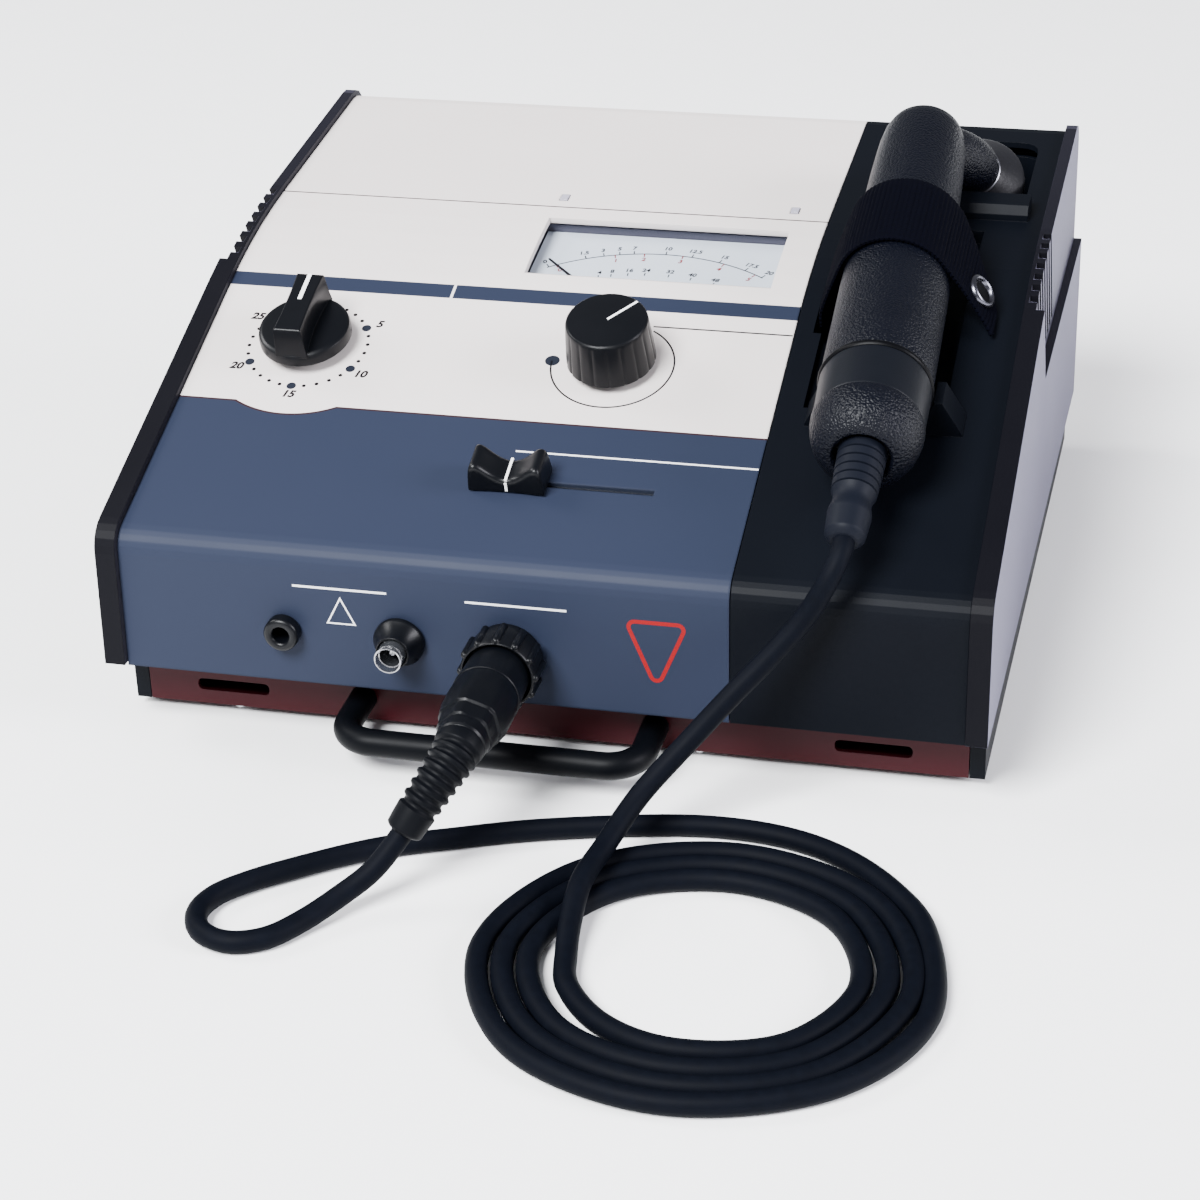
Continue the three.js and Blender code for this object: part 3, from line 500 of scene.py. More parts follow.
solid("front_marks", *joined(
    stroke([(-91, 64.2), (-54.7, 64.2)], 0.85), stroke([(-24.7, 63.6), (13.5, 63.6)], 0.85),
    stroke(small_triangle, 0.6, closed=True)), ink_white, place=ON_FRONT, slot="panel_paint")


def rounded_corners(corners, out, steps=6):
    """The outline of a polygon with its corners rounded."""
    line = []
    for i, corner in enumerate(corners):
        corner = Vector(corner)
        to_last = (Vector(corners[i - 1]) - corner).normalized()
        to_next = (Vector(corners[(i + 1) % len(corners)]) - corner).normalized()
        half = to_last.angle(to_next) / 2
        reach = out / math.tan(half)
        middle = corner + (to_last + to_next).normalized() * (out / math.sin(half))
        a, b = corner + to_last * reach - middle, corner + to_next * reach - middle
        first = math.atan2(a.y, a.x)
        sweep = (math.atan2(b.y, b.x) - first + math.pi) % (2 * math.pi) - math.pi
        for k in range(steps + 1):
            turn = first + sweep * k / steps
            line.append((middle.x + out * math.cos(turn), middle.y + out * math.sin(turn)))
    return line


red_outline = rounded_corners([(35.4, 61.9), (46.8, 35.4), (58, 61.9)], 2.2)
solid("front_triangle", *stroke(red_outline, 1.5, closed=True), ink_red, place=ON_FRONT, slot="panel_paint")

# ---- Applicator tray, end caps and rear panel
# Black textured mouldings: the tray with its cradle, rest bar, channel and well; the thick ends that stand
# proud of the panel with louvres in their recessed backs; and the flat rear sheet.
cap_plastic = surface("cap_moulding", (0.0018, 0.0018, 0.003), 0.5, grain=0.0006, depth=0.00004, blotch=28,
                      gleam=0.06)
cap_shader = cap_plastic.node_tree.nodes["Principled BSDF"]
cap_shader.inputs["Sheen Weight"].default_value = 0.72
cap_shader.inputs["Sheen Roughness"].default_value = 0.25
cap_shader.inputs["Sheen Tint"].default_value = (0.74, 0.71, 1, 1)
dress(black_plastic, "handset_tray", "rear_panel")
dress(cap_plastic, "end_cap_left", "end_cap_right")
# A black plate under the strap slot is painted shade: it stands in for the shade inside the case and hides the lit
# parts below the slot.
slot_plate = [(64, 112, 104), (100, 112, 104), (100, 246, 118), (64, 246, 118),
              (64, 112, 104.8), (100, 112, 104.8), (100, 246, 118.8), (64, 246, 118.8)]
plate_faces = [(3, 2, 1, 0), (4, 5, 6, 7), (0, 1, 5, 4), (1, 2, 6, 5), (2, 3, 7, 6), (3, 0, 4, 7)]
solid("slot_shade_plate", slot_plate, plate_faces, black_plastic, place=TABLE, slot="black_plastic")


# ---- Timer knob
# Glossy moulded disc with a raised, waisted finger bar across it, and a white line on the bar's top.
def bar_net(half_width, half_length, low, high, waist, top_scale):
    """A finger bar with hollow sides, narrower at the top."""
    levels = [
        (low, 1.0, 1.0), (low + 0.3 * (high - low), 0.93, 1.0), (low + 0.6 * (high - low), 0.88, 0.7),
        (high - 0.9, top_scale, 0.35), (high - 0.3, top_scale - 0.03, 0.35), (high, top_scale - 0.1, 0.35),
    ]
    points = []
    for up, wide, hollow in levels:
        for side in (1, -1):
            for step in range(17):
                t = -1 + step / 8
                x = half_width - waist * hollow * (1 - t * t)
                points.append((side * x * wide, side * t * half_length * (1 - (1 - wide) * 0.3), up))
    n = 34
    faces = [tuple(range(n))[::-1], tuple((len(levels) - 1) * n + i for i in range(n))]
    for j in range(len(levels) - 1):
        faces += [(j * n + i, j * n + (i + 1) % n, (j + 1) * n + (i + 1) % n, (j + 1) * n + i) for i in range(n)]
    return points, faces


gloss_black = surface("gloss_black", (0.0012, 0.0015, 0.0024), 0.34, grain=0.003, depth=0.00001, blotch=80,
                      rough_spread=0.05, gleam=0.16)
knob_line = surface("knob_line", (0.85, 0.85, 0.85), 0.45, tone=0.01, depth=0, edge=0)
timer_disc = lathe_net([
    (0, 4.5), (17.7, 4.5), (18.3, 5.1), (18.3, 8.4), (17.9, 9.6), (17.1, 10.3), (16.2, 10.5), (0, 10.6),
], 96)
ON_TIMER = SLOPE @ Matrix.Translation((TIMER_X, TIMER_S, 0))
solid("timer_grip", *joined(timer_disc, bar_net(6.6, 17.7, 9, 22.5, 1.5, 0.84)), gloss_black, "timer_dial", ON_TIMER,
      smooth=30, stands_for=["timer_knob"], slot="gloss_black")
line_net = slab([(-0.8, 1.5), (0.8, 1.5), (0.8, 16.6), (-0.8, 16.6)], 22.3, 22.62)
solid("timer_line", *line_net, knob_line, "timer_dial", ON_TIMER, slot="gloss_black")

# ---- Intensity knob
# Tall glossy knob with eighteen shallow flutes between its skirt and its rim, and a white line on top.
FLUTES = 18
knob_levels = [
    (3.6, 17.0, 0.3), (3.9, 17.4, 0.32), (9, 17.1, 0.32), (15, 16.6, 0.3), (20.8, 16.1, 0.26), (21.7, 16.0, 0.05),
    (22.4, 15.8, 0), (22.85, 15.3, 0), (23, 14.6, 0),
]
knob_sides = FLUTES * 10
knob_points, knob_faces = [], []
for up, out, hollow in knob_levels:
    for i in range(knob_sides):
        a = 2 * math.pi * i / knob_sides
        depth = hollow * max(0.0, math.cos(FLUTES * a)) ** 5
        knob_points.append(((out - depth) * math.cos(a), (out - depth) * math.sin(a), up))
for j in range(len(knob_levels) - 1):
    for i in range(knob_sides):
        k = (i + 1) % knob_sides
        knob_faces.append((j * knob_sides + i, j * knob_sides + k, (j + 1) * knob_sides + k, (j + 1) * knob_sides + i))
knob_faces.append(tuple(range(knob_sides))[::-1])
knob_faces.append(tuple((len(knob_levels) - 1) * knob_sides + i for i in range(knob_sides)))
ON_INTENSITY = SLOPE @ Matrix.Translation((INTENSITY_X, INTENSITY_S, 0))
solid("intensity_grip", knob_points, knob_faces, gloss_black, "intensity_dial", ON_INTENSITY, smooth=28,
      stands_for=["intensity_knob"], slot="gloss_black")
POINTS_AT = math.radians(50)
line_ends = [(out * math.cos(POINTS_AT), out * math.sin(POINTS_AT)) for out in (0.5, 15)]
line_net = stroke(line_ends, 0.95)
solid("intensity_line", *moved(line_net, z=23.05), knob_line, "intensity_dial", ON_INTENSITY, slot="gloss_black")

# ---- Rate slider
# Saddle-shaped cap with hollow top and flared ends on a flat stem, a white line down its middle.
SLIDER_X, SLIDER_S = -17.5, 44.5
saddle_rows = []
SADDLE = [(0, 6.2), (1.5, 6.3), (3, 6.8), (4.5, 7.6), (6, 8.7), (7.5, 10), (9, 11.4), (10, 12.2), (10.9, 12.75),
          (11.8, 12.9), (12.7, 12.6), (13.4, 11.8), (13.8, 10.4), (14.1, 8), (14.5, 4)]
for side_x, top in [(-x, z) for x, z in SADDLE[:0:-1]] + SADDLE:
    saddle_rows.append((side_x, top, 6.3 + 0.7 * (abs(side_x) / 14.5) ** 2))
saddle_points, saddle_faces = [], []
ring = 14
for x, top, half in saddle_rows:
    low = 0.9
    sides = [(-half, low), (-half, top - 2.4), (-half + 0.25, top - 1.1), (-half + 0.9, top - 0.3), (-half + 2, top),
             (-half * 0.4, top - 0.15), (0, top - 0.2), (half * 0.4, top - 0.15), (half - 2, top), (half - 0.9, top - 0.3),
             (half - 0.25, top - 1.1), (half, top - 2.4), (half, low), (0, low)]
    saddle_points += [(x, y, z) for y, z in sides]
for j in range(len(saddle_rows) - 1):
    for i in range(ring):
        k = (i + 1) % ring
        saddle_faces.append((j * ring + i, j * ring + k, (j + 1) * ring + k, (j + 1) * ring + i))
saddle_faces.append(tuple(range(ring)))
saddle_faces.append(tuple((len(saddle_rows) - 1) * ring + i for i in range(ring))[::-1])
ON_SLIDER = SLOPE @ Matrix.Translation((SLIDER_X, SLIDER_S, 0))
slider_cap = solid("slider_cap", saddle_points, saddle_faces, gloss_black, "rate_slider", ON_SLIDER, smooth=40,
                   stands_for=["slider_knob"], slot="gloss_black")
rounded = slider_cap.modifiers.new("rounded_ends", "BEVEL")
rounded.width, rounded.segments, rounded.limit_method, rounded.angle_limit = 0.0006, 3, "ANGLE", math.radians(50)
line_net = slab([(-0.5, -5.6), (0.5, -5.6), (0.5, 6.3), (-0.5, 6.3)], 5.6, 6.42)
face_line = [(-0.5, -6.42, 1.4), (0.5, -6.42, 1.4), (0.5, -6.42, 5.4), (-0.5, -6.42, 5.4),
             (-0.5, -6.1, 1.4), (0.5, -6.1, 1.4), (0.5, -6.1, 5.4), (-0.5, -6.1, 5.4)]
box_faces = [(0, 1, 2, 3), (7, 6, 5, 4), (0, 4, 5, 1), (1, 5, 6, 2), (2, 6, 7, 3), (3, 7, 4, 0)]
solid("slider_line", *joined(line_net, (face_line, box_faces)), knob_line, "rate_slider", ON_SLIDER, slot="gloss_black")

# ---- Meter
# Moving-coil meter behind a window in the panel: grey window walls, a pale printed card, a thin black
# needle and a clear lens.
METER = (
    Matrix.Translation(spot(9.6, 176, 133.25))
    @ Matrix.Rotation(math.atan2(7.5, 42), 4, "X")
    @ Matrix.Scale(0.001, 4)
)
meter_grey = surface("meter_grey", (0.075, 0.075, 0.105), 0.5, grain=0.0006, depth=0.00002)
card_white = surface("card_white", (0.5, 0.55, 0.62), 0.55, tone=0.02, depth=0, edge=0)
dress(meter_grey, "meter_case")
dress(card_white, "meter_card")
dress(ink_black, "meter_needle")
CARD_UP, ARC_Y, ARC_OUT = -8.1, -65.7, 76.7
ON_CARD = METER @ Matrix.Translation((0, 0, CARD_UP))


def on_scale(x, out):
    """The point above x that lies the given distance outside the printed arc."""
    a = math.asin(x / ARC_OUT)
    return (ARC_OUT + out) * math.sin(a), ARC_Y + (ARC_OUT + out) * math.cos(a)


upper = {"0": -45, "1.5": -31.3, "3": -24.4, "5": -18.2, "7": -12.5, "10": 0.5, "12.5": 11.5, "15": 23.4,
         "17.5": 34.8, "20": 42.4}
lower = {"0": -42.5, "1": -20.1, "2": -8.2, "3": 7.9, "4": 25.6, "5": 39.6}
peak = {"4": -23.5, "8": -18.5, "16": -11.8, "24": -4.9, "32": 5, "40": 14.4, "48": 24.3}
black_marks = [arc(0, ARC_Y, ARC_OUT, 90 + 36.6, 90 - 34, 0.5)]
for text, x in upper.items():
    black_marks.append(stroke([on_scale(x, 0), on_scale(x, 2.3)], 0.45))
    black_marks.append(figure(text, *on_scale(x, 4.5), 2.4, 0.1, -math.degrees(math.asin(x / ARC_OUT)) * 0.6))
for text, x in peak.items():
    px, py = x, -1.6 - 0.0072 * x * x
    black_marks.append(figure(text, px, py, 2.4, 0.1, -x * 0.4))
    if py > -6:
        black_marks.append(stroke([(px, py - 2), (px * 0.985, py - 4)], 0.45))
red_marks = [figure(text, *on_scale(x, -4.3), 2.4, 0.1, -x * 0.5) for text, x in lower.items()]
red_marks += [stroke([on_scale(x, 0), on_scale(x, -2.2)], 0.45) for x in lower.values()]
solid("card_scale", *joined(*black_marks), ink_black, place=ON_CARD, slot="card")
solid("card_red_scale", *joined(*red_marks), ink_red, place=ON_CARD, slot="card")


def clear_plastic(name, colour, alpha, rough):
    material = surface(name, colour, rough, depth=0, tone=0.02, rough_spread=0.01, edge=0)
    material.node_tree.nodes["Principled BSDF"].inputs["Alpha"].default_value = alpha
    return material


dress(clear_plastic("meter_lens_clear", (0.02, 0.02, 0.03), 0.06, 0.08), "meter_lens")

# ---- Indicator lamps
# Two small clear blocks set flush in the top of the panel, unlit.
dress(surface("lamp_clear", (0.34, 0.33, 0.4), 0.15, depth=0, tone=0.05), "lamp_output", "lamp_interrupt")

# ---- Stimulator jack
# Black bushing with a round hole, screwed into the front of the panel.
jack_profile = [
    (0, -8), (3.2, -8), (3.2, 4.6), (3.5, 5.3), (4.1, 5.75), (5.4, 5.8), (6.1, 5.5), (6.6, 4.9), (6.7, 4.2),
    (6.7, 0.75), (4.3, 0.75), (4.3, -12), (0, -12),
]
solid("jack_bushing", *lathe_net(jack_profile, 56), gloss_black,
      place=FRONT @ Matrix.Translation((-95.1, 45.8, 0)), stands_for=["stimulator_jack"], slot="gloss_black")

# ---- Output post
# Black flanged collar that steps in to a clear tube round a plated contact.
ON_POST = FRONT @ Matrix.Translation((-50.1, 45.7, 0))
post_profile = [
    (0, 5.5), (5.4, 5.5), (5.5, 6), (5.55, 10.2), (5.9, 10.5), (6.3, 10.3), (6.5, 9.6), (7, 6.4), (9.3, 3.1),
    (9.7, 2.5), (9.7, 0.95), (4.3, 0.95), (4.3, -12), (0, -12),
]
solid("post_collar", *lathe_net(post_profile, 56), gloss_black, place=ON_POST,
      stands_for=["output_post_collar"], slot="gloss_black")
tube_profile = [(4.4, 6.2), (4.4, 15.7), (4.6, 16), (5, 16), (5.2, 15.7), (5.2, 6.2)]
tube_points, tube_faces = lathe_net(tube_profile, 56)
tube_faces = tube_faces[:-2] + [(i, 5 * 56 + i, 5 * 56 + (i + 1) % 56, (i + 1) % 56) for i in range(56)]
clear_tube = surface("post_clear", (0.03, 0.032, 0.036), 0.1, depth=0, tone=0.05, edge=0, gleam=0.5)
clear_tube.node_tree.nodes["Principled BSDF"].inputs["Alpha"].default_value = 0.4
tube_rim = surface("tube_rim", (0.42, 0.42, 0.44), 0.2, metal=1, depth=0, edge=0)
solid("post_tube", tube_points, tube_faces, clear_tube, place=ON_POST, stands_for=["output_post_tube"],
      slot="clear_plastic")
rim_nets = []
for up, out in ((15.9, 4.85), (12.6, 4.3)):
    rim_points, rim_faces = lathe_net([
        (out - 0.2, up - 0.2), (out - 0.2, up + 0.1), (out, up + 0.2), (out + 0.3, up + 0.1), (out + 0.3, up - 0.2),
    ], 56)
    rim_faces = rim_faces[:-2] + [(i, 4 * 56 + i, 4 * 56 + (i + 1) % 56, (i + 1) % 56) for i in range(56)]
    rim_nets.append((rim_points, rim_faces))
solid("post_rims", *joined(*rim_nets), tube_rim, place=ON_POST, slot="steel")
solid("post_contact", *lathe_net([(0, 5.4), (1.4, 5.4), (1.4, 9.4), (1.0, 10.2), (0, 10.4)], 32), tube_rim,
      place=ON_POST, slot="steel")

# ---- Output connector
# Panel socket with a flange, and the plug's coupling ring with twelve round finger lugs.
ON_PLUG = FRONT @ Matrix.Translation((-8.6, 44.2, 0))
socket_profile = [(0, 12), (9.2, 12), (9.6, 11.6), (9.6, 2.9), (12.7, 2.9), (13, 2.6), (13, 1), (9.8, 1), (9.8, -22),
                  (0, -22)]
solid("panel_socket", *lathe_net(socket_profile, 64), gloss_black, place=ON_PLUG, stands_for=["output_socket"],
      slot="gloss_black")
ring_profile = [(10.2, 3.3), (13.4, 3.3), (13.9, 3.8), (13.9, 16.6), (13.5, 17.2), (13.1, 17.3), (12.8, 17),
                (12.8, 6.5), (10.2, 6.5)]
ring_points, ring_faces = lathe_net(ring_profile, 72)
ring_faces = ring_faces[:-2] + [(i, 8 * 72 + i, 8 * 72 + (i + 1) % 72, (i + 1) % 72) for i in range(72)]
lug_profile = [(0.05, 3.5), (0.9, 3.7), (1.45, 4.5), (1.45, 15.6), (1.2, 16.6), (0.7, 17.1), (0.05, 17.25)]
lugs = [
    moved(lathe_net(lug_profile, 16), 13.9 * math.cos(i * math.pi / 6), 13.9 * math.sin(i * math.pi / 6))
    for i in range(12)
]
coupling = solid("coupling_collar", *joined((ring_points, ring_faces), *lugs), gloss_black, "coupling_ring", ON_PLUG,
      stands_for=["plug_ring"], slot="gloss_black")

# ---- Plug body
# Moulded shell with a fine seam ring, six flats that run into a hexagonal nose, and the clamp nut's collar.
plug_levels = [
    (12.5, 10.5, 0), (12.7, 11.6, 0), (22, 12, 0), (31.3, 12.3, 0), (31.7, 12.6, 0), (32.2, 12.6, 0), (32.6, 12.3, 0),
    (40, 12.6, 0.1), (48, 12.5, 0.5), (53, 11.7, 0.85), (53.8, 10.9, 1), (60, 10.3, 1), (60.8, 9.6, 0.7), (62, 9.4, 0),
    (65.5, 9.2, 0), (66.5, 8.6, 0), (67, 7.4, 0),
]
plug_sides = 96
plug_points, plug_faces = [], []
for up, out, flat in plug_levels:
    for i in range(plug_sides):
        a = 2 * math.pi * i / plug_sides
        nearest = (a + math.pi / 6) % (math.pi / 3) - math.pi / 6
        hexagon = min(1.0, math.cos(math.pi / 6) / math.cos(nearest) * 1.07)
        r = out * (1 + flat * (hexagon - 1))
        plug_points.append((r * math.cos(a + 0.2), r * math.sin(a + 0.2), up))
for j in range(len(plug_levels) - 1):
    for i in range(plug_sides):
        k = (i + 1) % plug_sides
        plug_faces.append((j * plug_sides + i, j * plug_sides + k, (j + 1) * plug_sides + k, (j + 1) * plug_sides + i))
plug_faces.append(tuple(range(plug_sides))[::-1])
plug_faces.append(tuple((len(plug_levels) - 1) * plug_sides + i for i in range(plug_sides)))
plug_black = surface("plug_black", (0.001, 0.0013, 0.0022), 0.36, grain=0.0012, depth=0.00002, blotch=110, gleam=0.12)
plug_shell = solid("plug_shell", plug_points, plug_faces, plug_black, place=ON_PLUG, smooth=25,
                   stands_for=["plug_body"], slot="gloss_black")

# ---- Plug boot
# Curved rubber strain relief with deep ribs, from the clamp nut down to the cord.
boot_start, boot_end = Vector((-8.6, -67.5, 44.2)), Vector((-24, -89.5, 20.5))
boot_line = []
for step in range(121):
    t = step / 120
    a, b, c, d = boot_start, Vector((-8.9, -76, 43)), Vector((-18.5, -84.5, 30)), boot_end
    boot_line.append(
        a * (1 - t) ** 3 + b * (3 * t * (1 - t) ** 2) + c * (3 * t * t * (1 - t)) + d * t ** 3
    )
boot_widths = []
for step in range(121):
    t = step / 120
    out = 9.0 - 2.3 * t
    if 0.08 < t < 0.78:
        wave = ((t - 0.08) / 0.7 * 7) % 1
        out -= 1.15 * min(1.0, max(0.0, 2.2 * math.sin(math.pi * wave) - 1.1))
    elif t > 0.965:
        out -= ((t - 0.965) / 0.035) ** 2 * 1.3
    boot_widths.append(out)
boot_rubber = surface("boot_rubber", (0.001, 0.0013, 0.0022), 0.5, grain=0.001, depth=0.00003, blotch=90, edge=0,
                      gleam=0.06)
plug_relief = solid("plug_strain_relief", *swept_net(boot_line, boot_widths, 40), boot_rubber, place=TABLE,
                    stands_for=["plug_boot"], slot="rubber")

# ---- Applicator handle
# Pebbled rubber tail cap, a finely turned collar, a black seal in its groove, and the pebbled grip, which
# ends in a bent neck.
HANDSET_START = Vector((115.1, 33.4, 116.9))
HANDSET_AXIS = Vector((-6.8, 210, 51.5)).normalized()
HANDSET = (
    Matrix.Translation(spot(*HANDSET_START))
    @ Vector((0, 0, 1)).rotation_difference(HANDSET_AXIS).to_matrix().to_4x4()
    @ Matrix.Scale(0.001, 4)
)
pebbled = surface("pebbled_rubber", (0.0011, 0.0015, 0.0036), 0.4, grain=0.0009, depth=0.00045, pattern="pebble",
                  blotch=60, edge=0, gleam=0.12)
turned_black = surface("turned_black", (0.0016, 0.0022, 0.004), 0.42, grain=0.0008, depth=0.00003, blotch=70, edge=0,
                       gleam=0.16)
seal_rubber = surface("seal_rubber", (0.0008, 0.0009, 0.0014), 0.4, blotch=90, edge=0, gleam=0.06)
tail_profile = [
    (0, 5.8), (9.9, 5.8), (10.3, 5.2), (10.3, 1.2), (10.7, 0.4), (11.4, 0), (12.6, 0.2), (14.4, 1.1), (16.3, 2.8),
    (18.1, 5.2), (19.4, 8), (20.3, 11.2), (20.8, 14.6), (20.9, 17.6), (20.6, 18.2), (0, 18.2),
]
solid("tail_cap", *lathe_net(tail_profile, 80), pebbled, place=HANDSET, stands_for=["handset_tail_cap"],
      slot="grip_rubber")
collar_profile = [(0, 18.4), (20.15, 18.4)]
for ring_number in range(42):
    up = 18.8 + ring_number * 0.5
    collar_profile.append((20.35 + 0.011 * ring_number + (0.09 if ring_number % 2 else 0), up))
collar_profile += [(20.75, 39.8), (0, 39.8)]
solid("turned_collar", *lathe_net(collar_profile, 96), turned_black, place=HANDSET, smooth=60,
      stands_for=["handset_collar"], slot="black_plastic")
seal_profile = [(17.6, 39.9), (20.9, 39.9), (21.4, 40.4), (21.6, 41.1), (21.4, 42), (20.9, 42.5), (17.6, 42.5)]
seal_points, seal_faces = lathe_net(seal_profile, 80)
seal_faces = seal_faces[:-2] + [(i, 6 * 80 + i, 6 * 80 + (i + 1) % 80, (i + 1) % 80) for i in range(80)]
solid("seal_ring", seal_points, seal_faces, seal_rubber, place=HANDSET, stands_for=["handset_seal"], slot="rubber")
grip_profile = [
    (0, 42.2), (20.2, 42.2), (20.7, 42.7), (20.9, 43.4), (20.9, 60), (20.85, 80), (20.8, 95), (20.6, 108), (20.3, 120),
    (19.9, 134), (19.3, 148), (18.8, 160), (18.4, 175), (17.9, 188), (17.4, 196), (16.6, 203), (15.3, 207.6),
    (13.2, 210.9), (10.2, 213.4), (7, 214.8), (3.5, 215.4), (0, 215.5),
]
HEAD_CENTRE = Vector((127.5, 257.3, 139.8))
HEAD_AXIS = Vector((0.07, 0.72, -0.69)).normalized()
neck_end = HEAD_CENTRE - HEAD_AXIS * 12.5
neck_start = Vector((110, 216, 161))
neck_line, neck_widths = [], []
for step in range(41):
    t = step / 40
    a, b, c, d = neck_start, neck_start + HANDSET_AXIS * 13, neck_end - HEAD_AXIS * 13, neck_end
    neck_line.append(a * (1 - t) ** 3 + b * (3 * t * (1 - t) ** 2) + c * (3 * t * t * (1 - t)) + d * t ** 3)
    neck_widths.append(13.2 - 1.9 * t if t < 0.94 else 11.41 - (t - 0.94) * 12)
to_table = HANDSET.inverted() @ TABLE
neck_points, neck_faces = swept_net(neck_line, neck_widths, 56)
neck_net = [tuple(to_table @ p) for p in neck_points], neck_faces
solid("grip_and_neck", *joined(lathe_net(grip_profile, 96), neck_net), pebbled, place=HANDSET,
      stands_for=["handset_grip"], slot="grip_rubber")

# ---- Sound head
# Smooth black cone with a plated ring at the neck, and the turned aluminium face that touches the skin.
HEAD = (
    Matrix.Translation(spot(*HEAD_CENTRE))
    @ Vector((0, 0, 1)).rotation_difference(HEAD_AXIS).to_matrix().to_4x4()
    @ Matrix.Scale(0.001, 4)
)
cone_profile = [
    (0, -11.6), (11.1, -11.6), (11.9, -10.7), (13.2, -9), (15.2, -6.4), (17.3, -3.6), (19.1, -1.1), (19.8, 0),
    (20, 0.6), (19.9, 1.3), (16, 1.4), (16, -2.2), (0, -2.2),
]
cone_black = surface("cone_black", (0.004, 0.004, 0.0055), 0.4, grain=0.0018, depth=0.00008, blotch=80, edge=0,
                     gleam=0.2)
solid("head_cone", *lathe_net(cone_profile, 96), cone_black, place=HEAD, stands_for=["transducer_head"],
      slot="black_plastic")
ring_net = lathe_net([(0, -12.4), (11.2, -12.4), (11.6, -12.1), (11.6, -11.6), (11.1, -11.3), (0, -11.3)], 80)
ring_nickel = surface("ring_nickel", (0.16, 0.16, 0.18), 0.3, metal=1, depth=0, edge=0)
solid("head_ring", *ring_net, ring_nickel, place=HEAD, slot="steel")
face_profile = [(0, 1.7), (19.3, 1.7), (19.7, 2), (19.8, 2.6), (19.8, 3.7), (19.3, 4.5), (18.4, 4.8), (0, 4.8)]
turned_metal = surface("turned_aluminium", (0.72, 0.72, 0.73), 0.3, grain=0.0006, depth=0.00002, metal=1, blotch=120)
solid("head_face", *lathe_net(face_profile, 96), turned_metal, place=HEAD, stands_for=["transducer_face"],
      slot="aluminium")
dress(surface("silvered_ceramic", (0.6, 0.58, 0.52), 0.4), "transducer_crystal")

# ---- Applicator boot
# Rubber strain relief in the tail cap: a wide ribbed part, a waist, and a smooth bell round the cord.
relief_start = HANDSET_START + HANDSET_AXIS * 3.6
relief_end = Vector((114.3, 0, 100.5))
relief_line, relief_widths = [], []
for step in range(141):
    t = step / 140
    relief_line.append(relief_start.lerp(relief_end, t))
    if t < 0.47:
        ridge = (t / 0.47 * 5) % 1
        out = 9.0 - 1.4 * t - (0.75 if ridge > 0.84 else 0.0)
    elif t < 0.58:
        out = 8.3 - 1.2 * math.sin((t - 0.47) / 0.11 * math.pi / 2)
    elif t < 0.72:
        out = 7.1 + 0.9 * (0.5 - 0.5 * math.cos((t - 0.58) / 0.14 * math.pi))
    elif t < 0.93:
        out = 8.0 - 0.6 * (t - 0.72) / 0.21
    else:
        out = 7.4 - 2.4 * ((t - 0.93) / 0.07) ** 1.6
    relief_widths.append(out)
relief_rubber = surface("relief_rubber", (0.0024, 0.0032, 0.0062), 0.55, grain=0.0007, depth=0.00003, blotch=90, edge=0,
                        gleam=0.08)
solid("applicator_relief", *swept_net(relief_line, relief_widths, 48), relief_rubber, place=TABLE, smooth=45,
      stands_for=["handset_boot"], slot="rubber")

# ---- Hold-down strap
# Dark navy ribbed elastic, forty millimetres wide: it comes up through a slot in the tray, goes over the
# grip and down to a pointed flap that snaps on to the tray with a press stud.
STRAP_ALONG, STRAP_WIDE, STRAP_OUT = 123.8, 39.5, 22.2
STRAP = (
    Matrix.Translation(spot(*(HANDSET_START + HANDSET_AXIS * STRAP_ALONG)))
    @ Matrix.Rotation(math.pi / 2 + math.asin(HANDSET_AXIS.z), 4, "X")
    @ Matrix.Scale(0.001, 4)
)
strap_corners = [Vector((38, -15.4, 0))]
for step in range(15):
    a = math.radians(30.6 + (160.4 - 30.6) * step / 14)
    strap_corners.append(Vector((STRAP_OUT * math.cos(a), STRAP_OUT * math.sin(a), 0)))
strap_corners += [Vector((-28.6, -14.5, 0)), Vector((-28.9, -21, 0))]
strap_line = smooth_line(strap_corners, 0.3)
strap_length = sum((b - a).length for a, b in zip(strap_line, strap_line[1:]))
RIB_PITCH, STRAP_THICK, WIDE_STEPS = 1.9, 1.6, 44
strap_points, strap_faces = [], []
run = 0.0
for i, place in enumerate(strap_line):
    ahead = (strap_line[min(i + 1, len(strap_line) - 1)] - strap_line[max(i - 1, 0)]).normalized()
    out_way = Vector((ahead.y, -ahead.x, 0))
    if i:
        run += (place - strap_line[i - 1]).length
    rib = abs(math.sin(math.pi * run / RIB_PITCH))
    # The flap tapers to its tip over the last part of the strap.
    near = STRAP_WIDE / 2 + 0.55 * rib
    far = -STRAP_WIDE / 2 - 0.55 * rib
    tip = max(0.0, 1 - run / 30)
    far += (STRAP_WIDE * 0.80) * tip ** 1.3
    near += 6.5 * tip ** 2
    for side in (1, -1):
        for j in range(WIDE_STEPS + 1):
            share = j / WIDE_STEPS
            hem = min(1.0, 6 * share, 6 * (1 - share)) ** 0.5
            lift = side * (STRAP_THICK / 2 * (0.55 + 0.45 * hem) + 0.4 * rib * hem)
            spread = near + (far - near) * share
            strap_points.append(tuple(place + out_way * lift + Vector((0, 0, spread))))
row = 2 * (WIDE_STEPS + 1)
for i in range(len(strap_line) - 1):
    for j in range(WIDE_STEPS):
        a, b = i * row + j, (i + 1) * row + j
        strap_faces.append((a, a + 1, b + 1, b))
        a, b = a + WIDE_STEPS + 1, b + WIDE_STEPS + 1
        strap_faces.append((b, b + 1, a + 1, a))
    for edge_at in (0, WIDE_STEPS):
        a, b = i * row + edge_at, (i + 1) * row + edge_at
        strap_faces.append((a, b, b + WIDE_STEPS + 1, a + WIDE_STEPS + 1))
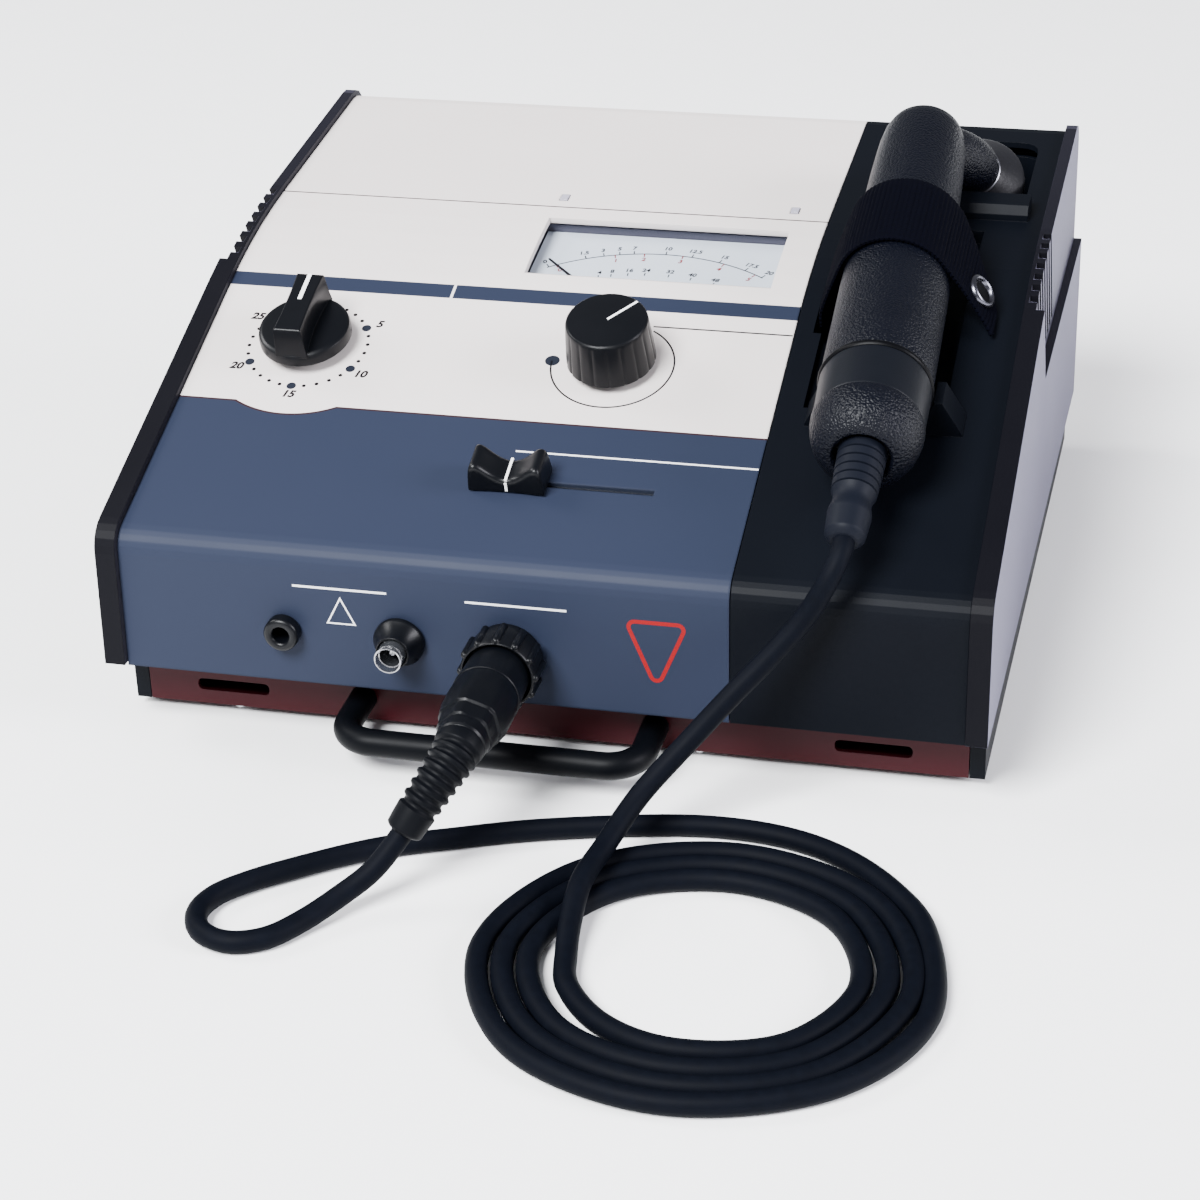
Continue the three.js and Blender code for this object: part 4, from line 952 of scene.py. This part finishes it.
for i in (0, len(strap_line) - 1):
    for j in range(WIDE_STEPS):
        a = i * row + j
        strap_faces.append((a, a + WIDE_STEPS + 1, a + WIDE_STEPS + 2, a + 1))
webbing = surface("elastic_webbing", (0.0004, 0.0005, 0.002), 0.9, grain=0.0007, depth=0.0003, tone=0.5, blotch=900,
                  edge=0, gleam=0.03)
strap_piece = solid("hold_down_strap", strap_points, strap_faces, webbing, place=STRAP, smooth=60,
                    stands_for=["strap"], slot="webbing")

# ---- Strap stud
# Plated press stud through the flap: a bright ring, and a flat dark disc in its middle that is painted shade for the
# hollow.
flap_end, flap_top = strap_corners[0], strap_corners[1]
flap_way = (flap_end - flap_top).normalized()
stud_out = Vector((-flap_way.y, flap_way.x, 0))
stud_at = flap_top + flap_way * 21.5 + stud_out * 1.25 + Vector((0, 0, 12))
STUD = (
    STRAP @ Matrix.Translation(stud_at) @ Vector((0, 0, 1)).rotation_difference(stud_out).to_matrix().to_4x4()
)
dark_nickel = surface("dark_nickel", (0.1, 0.1, 0.12), 0.25, grain=0.0003, depth=0.00001, metal=1, blotch=150, edge=0)
stud_profile = [(0, 0.2), (4.6, 0.2), (4.9, 0.6), (5.2, 1.3), (5.8, 1.6), (6.5, 1.4), (7, 0.8), (7.2, 0), (7.2, -0.7),
                (0, -0.7)]
stud_ring = solid("stud_ring", *lathe_net(stud_profile, 48), dark_nickel, place=STUD, stands_for=["strap_stud"],
                  slot="steel")
# Flat dark disc over the ring's middle: painted shade where the stud's hollow is.
stud_shade_disc = solid("stud_shade_disc", *lathe_net([(0, -0.2), (4.5, -0.2), (4.5, 0.32), (0, 0.32)], 32), seal_rubber,
                  place=STUD, slot="rubber")

# ---- Rear sockets
# Mains inlet with three pins, and the fuse holder with its glass fuse and turned cap.
dress(black_plastic, "mains_inlet", "fuse_holder")
dress(gloss_black, "fuse_cap")
dress(clear_plastic("fuse_glass", (0.8, 0.85, 0.85), 0.35, 0.05), "fuse")

# ---- Inside the case
# Timer clockwork, potentiometers, meter movement, transformer, board and output stage.
inner_steel = surface("zinc_plate", (0.42, 0.42, 0.4), 0.45, grain=0.002, metal=0.9, blotch=60, tone=0.15)
dress(inner_steel, "timer_mechanism", "intensity_control", "slide_control", "meter_movement", "transformer_core",
      "timer_shaft", "intensity_shaft", "slider_stem")
dress(surface("enamelled_copper", (0.32, 0.1, 0.04), 0.35, grain=0.0008, depth=0.0002, metal=0.6), "transformer_coil")
dress(surface("board_green", (0.02, 0.1, 0.04), 0.4, grain=0.002, tone=0.2), "circuit_board")
dress(surface("black_anodised", (0.01, 0.01, 0.011), 0.45, metal=0.3), "heat_sink")
